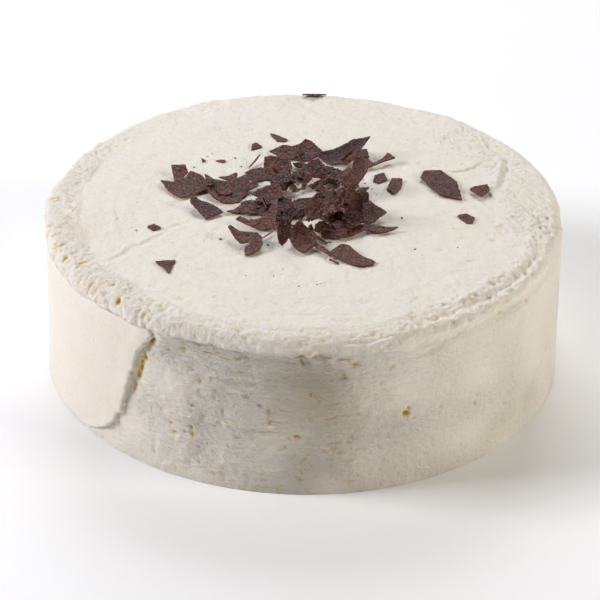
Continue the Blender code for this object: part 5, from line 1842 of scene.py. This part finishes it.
    # splinters and small bits that lie on the heap and beside it
    splinters: tuple[Shard, ...] = (
        Shard(((-45, 11.8), (-43, 11.9), (-40.4, 10.6), (-42.6, 8.8), (-45, 8.6)), roll=16),
        Shard(((-10.9, 6.9), (-5.7, 2.8), (-6, 2.2), (-11.1, 6.3)), roll=10, tone=0.5),
        Shard(((-20.1, 3.6), (-19.5, 3.6), (-16.9, -1.6), (-17.5, -1.7)), roll=14, tone=0.3),
        Shard(((-14.4, -11.7), (-18.1, -14.4), (-18.5, -15), (-14.8, -12.4)), roll=4, tone=0.2),
        Shard(((7.5, 18.3), (8.3, 18.3), (8.6, 12.3), (7.9, 12.1)), roll=30, tone=0.3),
        Shard(((-12.7, -8.5), (-8.2, -5.4), (-3.1, -2.2), (-3.4, -2.8), (-8, -6), (-12.5, -9.1)), roll=12,
            tone=0.5),
        Shard(((5.9, 0.9), (10.4, 4.2), (16.4, 7.1), (17, 6.2), (11, 2.8), (6.5, 0)), roll=26, tone=0.1),
        Shard(((4.8, -12.5), (10.4, -16.2), (10, -16.9), (4.9, -13.5)), roll=6),
        Shard(((6.6, -18.2), (12.4, -21.8), (12, -22.3), (6.5, -18.8)), roll=4, tone=0.2),
        Shard(((11.2, -23.1), (15.5, -24.7), (15.2, -25.2), (11, -23.6)), roll=4),
        Shard(((-26.4, 17.4), (-25.4, 18), (-21, 23.4), (-21.6, 23.8)), roll=12, tone=0.6),
        Shard(((0.4, -6.2), (3, -2.8), (4.6, -3.4), (2.4, -7)), roll=34, tone=0.2),
        Shard(((8.2, -3.2), (9.2, 0.8), (10.6, 0.6), (10, -3.4)), roll=36, tone=0.3),
        Shard(((13.4, -4.4), (15.6, 0.4), (16.8, 0), (15, -4.8)), roll=36, tone=-0.2),
        Shard(((-3.6, -5.6), (-1.4, -3.4), (0.4, -4.2), (-1.6, -7)), roll=24),
        Shard(((-9.2, -2.4), (-7.8, 0.8), (-6.6, 0.2), (-7.6, -3)), roll=30, tone=0.2),
        Shard(((-24.6, -1.4), (-20.6, 0.2), (-20, -0.8), (-23.8, -2.6)), roll=18, tone=0.3),
        Shard(((18.4, -8.4), (24, -6.6), (25.4, -7.8), (20.4, -9.6)), roll=16, tone=-0.1),
        Shard(((-5.4, 23.2), (-1.2, 25.4), (-0.6, 24.6), (-4.8, 22.2)), roll=26, tone=-0.4),
        Shard(((16.4, 22.6), (21.4, 27), (22, 26.4), (17.6, 21.8)), roll=30, tone=0.4),
        Shard(((1.6, -4.6), (6.6, -3.2), (8.4, -6), (3, -8)), roll=30, tone=-0.3),
        Shard(((8, -5.2), (13.6, -4), (14.4, -7.4), (9, -8.6)), roll=26, tone=-0.1),
        Shard(((13, -7.2), (17.6, -4.8), (19, -7.4), (14.6, -9.6)), roll=24, tone=-0.4),
        Shard(((-18.6, 3.2), (-13.4, 4), (-12.6, 1.4), (-17.2, 0.2)), roll=20, tone=-0.3),
        Shard(((-16, 10.6), (-10.6, 11.6), (-10, 9.4), (-15, 8.2)), roll=20, tone=-0.5),
        Shard(((-27.6, 9.4), (-22.4, 11.2), (-21, 8.8), (-26, 6.6)), roll=18, tone=-0.4),
        Shard(((-3.6, 22.4), (2.4, 23.8), (3.2, 21.4), (-2.6, 20.2)), roll=24, tone=-0.5),
        Shard(((2.6, 17), (8.6, 19.4), (9.6, 17.2), (3.8, 15.2)), roll=24, tone=-0.5),
        Shard(((19.4, 9), (23.6, 11.4), (24.8, 8.6), (20.6, 6.8)), roll=30, tone=-0.3),
        Shard(((-10.4, -1.4), (-5.8, 0.4), (-4.8, -2.2), (-9.4, -4)), roll=28, tone=-0.5),
        Shard(((-4.2, -2.6), (0.8, -1), (1.6, -3.6), (-3.4, -5.2)), roll=30, tone=-0.4),
    )
    # where the cream shows between the shards, as seen
    gaps: tuple[tuple[float, float], ...] = (
        (-3, 10), (5, 11.5), (-6.5, 6), (14, 9), (2, 7.5), (-0.5, 4.3), (18, 16.5), (-1, -6), (-23, -6),
        (10, 8.6),
    )  # fmt: skip
    gap_reach: float = 2.5
    splinter_thick: float = 0.7 * MM
    bits: int = 190
    bits_size: tuple[float, float] = (2.4, 6.4)

    def core(self) -> Ground:
        """The low mound that the heap's shards stand on, as the solid has it.

        Returns:
            The mound, which isn't shown.
        """
        rng = random.Random(self.seed)
        centre_x, centre_y = self.core_centre
        low, high = self.core_uneven
        points, faces = [], []
        count = len(self.core_outline)
        for share, height in self.core_rings:
            for x, y in self.core_outline:
                uneven = rng.uniform(low, high) if height else 1.0
                place_x = centre_x + (x - centre_x) * share
                place_y = centre_y + (y - centre_y) * share
                z = self.form.height + self.gap + height * uneven * MM
                points.append(Vector((place_x * MM, place_y * MM, z)))
        for ring in range(len(self.core_rings) - 1):
            for index in range(count):
                here, after = ring * count + index, ring * count + (index + 1) % count
                faces.append((here, after, after + count, here + count))
        faces.append(tuple(range(count)))
        faces.append(tuple(range(len(points) - count, len(points))))
        return Ground(points, faces)

    def strewn_place(self, turn: float, reach: float) -> tuple[float, float]:
        """A place in the heap, in mm, by its direction from the middle and its share of the way out."""
        (x, y), (wide, deep) = self.fill_centre, self.fill_spread
        return x + wide * reach * math.cos(turn), y + deep * reach * math.sin(turn)

    def fill_row(self, rng: random.Random) -> Chip:
        """One of the smaller shards under those that show.

        Args:
            rng: the source of its place and size.

        Returns:
            The shard.
        """
        turn = rng.uniform(0.0, math.tau)
        reach = math.sqrt(rng.uniform(0.02, 1.0))
        return Chip(
            rng.choice(self.forms),
            self.strewn_place(turn, reach),
            (rng.uniform(8.0, 13.0), rng.uniform(5.0, 8.5)),
            heading=rng.uniform(0.0, 180.0),
            pitch=rng.uniform(-10.0, 18.0),
            roll=rng.uniform(-10.0, 34.0),
        )

    def bit_row(self, rng: random.Random) -> Chip:
        """One of the small bits strewn over the heap.

        Args:
            rng: the source of its place and size.

        Returns:
            The bit.
        """
        turn = rng.uniform(0.0, math.tau)
        reach = 1.1 * math.sqrt(rng.uniform(0.0, 1.0))
        length = rng.uniform(*self.bits_size)
        return Chip(
            rng.choice(self.forms),
            self.strewn_place(turn, reach),
            (length, length * rng.uniform(0.35, 0.8)),
            heading=rng.uniform(0.0, 180.0),
            pitch=rng.uniform(-10.0, 24.0),
            roll=rng.uniform(-6.0, 40.0),
        )

    def strewn_bits(self, cake: Ground, heap: Ground, rng: random.Random) -> list[tuple[str, Plate]]:
        """Strews the small bits over the low part of the heap, where they show between the shards.

        Args:
            cake: the cake's top.
            heap: what lies there so far.
            rng: the source of their places.

        Returns:
            The name and the plate of each bit that shows.
        """
        plates = []
        for number in range(self.bits):
            plate = Plate(self.bit_row(rng), self.splinter_thick).build()
            plate.lay(self.form.height, [(cake, self.gap), (heap, 0.0)])
            if not self.in_gap(plate):
                plates.append((f"bit_{number}", plate))
        return plates

    def in_gap(self, plate: Plate) -> bool:
        """Whether a plate lies where the cream shows between the shards.

        Args:
            plate: the plate in its place.

        Returns:
            True if it does.
        """
        here = plate.matrix.translation
        rise = here.z - self.form.height
        seen = (here.x / MM, (here.y * math.sin(plate.seen_from) + rise * math.cos(plate.seen_from)) / MM)
        return any(math.dist(seen, gap) < self.gap_reach for gap in self.gaps)

    def heap_plates(self, cake: Ground) -> list[tuple[str, Plate]]:
        """Lets the heap's shards fall one after the other.

        Args:
            cake: what they fall on.

        Returns:
            The name and the plate of each shard that shows.
        """
        rng = random.Random(self.seed)
        rows = [(f"fill_{number}", self.fill_row(rng), self.shard_thick) for number in range(self.fill)]
        rows += [(name, row, self.shard_thick) for name, row in self.heap.items()]
        splinters = [(f"splinter_{n}", row, self.splinter_thick) for n, row in enumerate(self.splinters)]
        core = self.core()
        points, faces = list(core.points), list(core.faces)
        plates = []
        for number, (name, row, thick) in enumerate(rows + splinters):
            heap = Ground(points, faces)
            if number == self.fill:
                plates += self.strewn_bits(cake, heap, rng)
            plate = Plate(row, thick).build()
            plate.lay(self.form.height, [(cake, self.gap), (heap, -self.bite)])
            if number < self.fill:
                plate.push(heap, Vector(self.core_centre) * MM, self.nudge)
            first = len(points)
            points += plate.points
            faces += [tuple(first + index for index in face) for face in plate.faces]
            if not (isinstance(row, Chip) and self.in_gap(plate)):
                plates.append((name, plate))
        return plates

    def broken_outline(self, plate: Plate, rng: random.Random) -> list[tuple[float, float]]:
        """The shard's outline, rounded at its blunt corners, with the small breaks along its edges.

        Args:
            plate: its plain form.
            rng: the source of its breaks.

        Returns:
            The corners of the broken outline.
        """
        corners = [Vector(corner) for corner in plate.outline()]
        count = len(corners)
        ways = [(corners[(i + 1) % count] - corners[i]) for i in range(count)]
        blunt = [ways[i - 1].angle(ways[i]) < math.radians(self.blunt_corner) for i in range(count)]
        outline = []
        for i, (start, way) in enumerate(zip(corners, ways)):
            j = (i + 1) % count
            end, ahead = corners[j], way.normalized()
            leave = (ways[i - 1].normalized() + ahead).normalized() if blunt[i] else ahead
            arrive = (ahead + ways[j].normalized()).normalized() if blunt[j] else ahead
            steps = max(2, round(way.length / self.edge_step))
            across = Vector((way.y, -way.x)).normalized()
            for index in range(steps):
                t = index / steps
                spline = start * (2 * t**3 - 3 * t**2 + 1) + end * (3 * t**2 - 2 * t**3)
                spline += (leave * (t**3 - 2 * t**2 + t) + arrive * (t**3 - t**2)) * way.length
                out = rng.uniform(*self.edge_wander) * MM
                if index and rng.random() < self.notches:
                    out -= rng.uniform(*self.notch_depth) * MM
                point = spline + across * out
                outline.append((point.x, point.y))
        return outline

    def fine_shard(self, name: str, plate: Plate, rng: random.Random) -> bpy.types.Object:
        """A shard as it shows: broken edges, a bent plate and an uneven face.

        Args:
            name: the new object's name.
            plate: its plain form, in its place.
            rng: the source of its breaks.

        Returns:
            A closed mesh object in its place.
        """
        spans = plate.spans()
        outline = self.broken_outline(plate, rng)
        made = slab_from(name, outline, min(self.shown_thick, 0.8 * plate.thick))
        for axis, side in enumerate(spans):
            count = max(1, round(side / self.grid_step))
            cut_across(made, axis, [side * (index / count - 0.5) for index in range(1, count)])
        bpy.context.view_layer.objects.active = made
        bevel = made.modifiers.new("wear_and_painted_shade", "BEVEL")
        bevel.width = self.worn_width
        bevel.segments = 1
        bevel.angle_limit = self.worn_angle
        bpy.ops.object.modifier_apply(modifier=bevel.name)
        flat = coordinates(made)
        to_edge = way_to_path(flat[:, :2], np.array(outline + outline[:1]))
        edge = 1.0 - smooth_step(to_edge, *self.edge_band)
        offset = np.array([rng.uniform(0.0, 1.0) for _ in range(3)])
        wave = lattice_noise(flat + offset, 6.0 * MM, 901)
        pitted = lattice_noise(flat + offset, 1.6 * MM, 902)
        thin = 1.0 - 0.35 * smooth_step(lattice_noise(flat + offset, 9.0 * MM, 903), -0.2, 0.6)
        flat[:, 2] = flat[:, 2] * thin + (0.25 * wave + 0.08 * pitted) * MM
        place_vertices(made, bent_plate(flat, spans, plate.row.bends))
        made.data.transform(plate.matrix)
        set_attribute(made, "edge", edge)
        tone = plate.row.tone + rng.uniform(-self.tone_spread, self.tone_spread)
        set_attribute(made, "tone", np.full(len(flat), tone))
        made.data.shade_smooth()
        select_only(made)
        bpy.ops.object.shade_smooth_by_angle(angle=self.smooth_angle)
        return made

    def build_heap(self, cake: Ground) -> bpy.types.Object:
        """Builds the heap of shards.

        Args:
            cake: what it falls on.

        Returns:
            The heap as one piece.
        """
        rng = random.Random(self.seed + 1)
        shards = [self.fine_shard(name, plate, rng) for name, plate in self.heap_plates(cake)]
        return finished(joined("heap_shards", shards), self.finish, "chocolate_heap")

    def build_lone(self, cake: Ground) -> list[bpy.types.Object]:
        """Builds the large shards that lie apart.

        Args:
            cake: what they lie on.

        Returns:
            A piece for each.
        """
        rng = random.Random(self.seed + 2)
        made = []
        for name, row in self.lone.items():
            plate = Plate(row, self.shard_thick).build()
            plate.lay(self.form.height, [(cake, self.gap)])
            plate.shift(Vector((0.0, 0.0, -self.lone_sunk)))
            piece = self.fine_shard(f"lone_{name}", plate, rng)
            made.append(finished(piece, self.finish, name))
        return made

    def build_flakes(self, crown: Ground) -> bpy.types.Object:
        """Builds the small flakes on the cream.

        Args:
            crown: the cream that they lie on.

        Returns:
            All of them in one piece.
        """
        rng = random.Random(self.seed + 3)
        pieces = []
        for number, row in enumerate(self.flakes):
            plate = Plate(row, self.flake_thick).build()
            plate.lay(self.form.height, [(crown, -self.flake_sunk)])
            pieces.append(self.fine_shard(f"flake_{number}", plate, rng))
        return finished(joined("flakes", pieces), self.finish, "cake")


@dataclass
class Crumbs:
    """Specks of chocolate round the heap and on the cream."""

    form: CakeForm
    finish: bpy.types.Material
    seed: int = 77
    near: int = 260
    far: int = 34
    near_reach: tuple[float, float] = (34.0, 44.0)
    far_reach: float = 100.0
    near_back: float = 4.0
    models: int = 5
    lean: float = 0.3
    lifted: float = 0.12
    edge: float = 1.0
    tone: float = 0.6
    specks: tuple[tuple[float, float, float], ...] = (
        (-90, 2.5, 0.9), (-75, -25, 1.3), (44, -10, 1.6), (49, -38, 1.3), (68, -36, 0.9), (-52, 36, 1.0),
        (-46, 46, 1.0), (-48, 41, 0.8), (-33, 45, 1.2), (-30, 37, 1.3), (-44, 49, 0.7), (-25, -63, 0.9),
        (-13, -63, 0.9), (-2, -72, 0.8), (-37, -32, 1.8), (6, -70, 0.7), (-9, -57, 0.7), (-39, 88, 1.2),
        (-16, -36, 1.0), (-58, -36, 0.7),
    )  # fmt: skip

    def crumb(self, rng: random.Random) -> bpy.types.Object:
        """Models one crumb, one unit across, with uneven faces.

        Args:
            rng: the source of its form.

        Returns:
            The crumb.
        """
        deselect()
        bpy.ops.mesh.primitive_ico_sphere_add(subdivisions=1, radius=0.5)
        made = bpy.context.view_layer.objects.active
        points = coordinates(made)
        stretch = np.array([1.0, rng.uniform(0.5, 0.9), rng.uniform(0.3, 0.6)])
        uneven = np.array([[rng.uniform(0.7, 1.3)] for _ in points])
        place_vertices(made, points * stretch * uneven)
        return made

    def build(self, crown: Ground) -> bpy.types.Object:
        """Strews the crumbs.

        Args:
            crown: the cream that they lie on.

        Returns:
            All of them in one piece.
        """
        rng = random.Random(self.seed)
        places = list(self.specks)
        for _ in range(self.near):
            turn, reach = rng.uniform(0.0, math.tau), math.sqrt(rng.uniform(0.0, 1.0))
            x = self.near_reach[0] * reach * math.cos(turn)
            y = self.near_back + self.near_reach[1] * reach * math.sin(turn)
            places.append((x, y, rng.uniform(0.35, 1.1)))
        for _ in range(self.far):
            turn, reach = rng.uniform(0.0, math.tau), math.sqrt(rng.uniform(0.1, 1.0)) * self.far_reach
            places.append((reach * math.cos(turn), reach * math.sin(turn), rng.uniform(0.3, 0.6)))
        models = [self.crumb(rng) for _ in range(self.models)]
        pieces = []
        for number, (x, y, size) in enumerate(places):
            hit = crown.tree.ray_cast(Vector((x * MM, y * MM, 1.0)), Vector((0, 0, -1)))[0]
            if not hit:
                continue
            model = models[number % len(models)]
            piece = bpy.data.objects.new(f"crumb_{number}", model.data.copy())
            bpy.context.scene.collection.objects.link(piece)
            lean_x, lean_y = (rng.uniform(-self.lean, self.lean) for _ in range(2))
            turned = Euler((lean_x, lean_y, rng.uniform(0.0, math.tau))).to_matrix()
            place = Matrix.Translation(hit + Vector((0.0, 0.0, self.lifted * size * MM)))
            piece.data.transform(place @ turned.to_4x4() @ Matrix.Scale(size * MM, 4))
            pieces.append(piece)
        for model in models:
            bpy.data.objects.remove(model)
        made = joined("crumbs", pieces)
        for name, value in (("edge", self.edge), ("tone", self.tone)):
            set_attribute(made, name, np.full(len(made.data.vertices), value))
        return finished(made, self.finish, "cake")


# The studio


@dataclass(frozen=True)
class SoftBox:
    """A soft square light: where it stands, how large and strong it is, and its colour."""

    name: str
    place: tuple[float, float, float]
    side: float
    power: float
    colour: str
    aim_height: float = 0.04

    def build(self) -> None:
        """Sets the light up, turned to the cake."""
        deselect()
        bpy.ops.object.light_add(type="AREA", location=self.place)
        made = bpy.context.view_layer.objects.active
        made.name = made.data.name = self.name
        made.data.size = self.side
        made.data.energy = self.power
        made.data.color = linear(self.colour)[:3]
        aim = Vector((0.0, 0.0, self.aim_height)) - Vector(self.place)
        made.rotation_euler = aim.to_track_quat("-Z", "Y").to_euler()


@dataclass
class Studio:
    """The floor, the lights and the camera."""

    paper: bpy.types.Material
    floor_side: float = 12.0
    floor_drop: float = 0.05 * MM
    far_clip: float = 50.0
    ambient: float = 0.06
    lights: tuple[SoftBox, ...] = (
        SoftBox("key_left", (-1.345, -0.118, 0.85), 0.6, 20.4, "#FAF9FF"),
        SoftBox("top_back", (0.0, 1.2, 1.2), 1.0, 15.6, "#F5F8FF"),
        SoftBox("warm_right", (1.316, -0.479, 0.7), 0.6, 11.8, "#FFF8EC"),
    )
    view_angle: float = 14.0
    elevation: float = 32.2
    distance: float = 1.1517
    roll: float = 0.9
    centre_px: tuple[float, float] = (302.4, 347.6)
    picture_px: float = 600.0

    def build_floor(self) -> None:
        """Lays the floor."""
        deselect()
        bpy.ops.mesh.primitive_plane_add(size=self.floor_side, location=(0.0, 0.0, 0.0))
        floor = bpy.context.view_layer.objects.active
        floor.name = floor.data.name = "floor"
        floor.data.transform(Matrix.Translation((0.0, 0.0, -self.floor_drop)))
        floor.data.materials.append(self.paper)

    def build_camera(self) -> None:
        """Sets the camera up at the picture's angle."""
        deselect()
        bpy.ops.object.camera_add()
        camera = bpy.context.view_layer.objects.active
        camera.name = camera.data.name = "camera"
        tilt = math.radians(self.elevation)
        back = Vector((0.0, -math.cos(tilt), math.sin(tilt)))
        right = Vector((1.0, 0.0, 0.0))
        up = back.cross(right)
        turn = Matrix((right, up, back)).transposed().to_4x4()
        camera.matrix_world = (
            Matrix.Translation(back * self.distance) @ turn @ Matrix.Rotation(math.radians(self.roll), 4, "Z")
        )
        camera.data.lens_unit = "FOV"
        camera.data.angle = math.radians(self.view_angle)
        half = self.picture_px / 2.0
        camera.data.shift_x = -(self.centre_px[0] - half) / self.picture_px
        camera.data.shift_y = (self.centre_px[1] - half) / self.picture_px
        camera.data.clip_end = self.far_clip
        bpy.context.scene.camera = camera

    def build(self) -> None:
        """Sets up the floor, the lights, the sky and the camera."""
        self.build_floor()
        for light in self.lights:
            light.build()
        world = bpy.data.worlds.new("studio_room")
        world.use_nodes = True
        background = world.node_tree.nodes["Background"]
        background.inputs["Color"].default_value = (1.0, 1.0, 1.0, 1.0)
        background.inputs["Strength"].default_value = self.ambient
        bpy.context.scene.world = world
        bpy.context.scene.view_settings.view_transform = "Standard"
        self.build_camera()


def main() -> None:
    """Builds the cream, the chocolate and the studio, in that order."""
    logging.basicConfig(level=logging.INFO, format="%(name)s: %(message)s")
    form = CakeForm()
    cream = WhippedCream().material()
    chocolate = ShavedChocolate().material()
    solid = Ground.of_object(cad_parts["cake"])
    crown = Frosting(form, cream).build()[0]
    Smear(form, cream).build()
    Lips(cream).build()
    cream_top = Ground.of_object(crown)
    choc = Chocolate(form, chocolate)
    choc.build_heap(solid)
    choc.build_lone(solid)
    choc.build_flakes(cream_top)
    Crumbs(form, chocolate).build(cream_top)
    Studio(StudioPaper().material()).build()


if __name__ == "__main__":
    main()
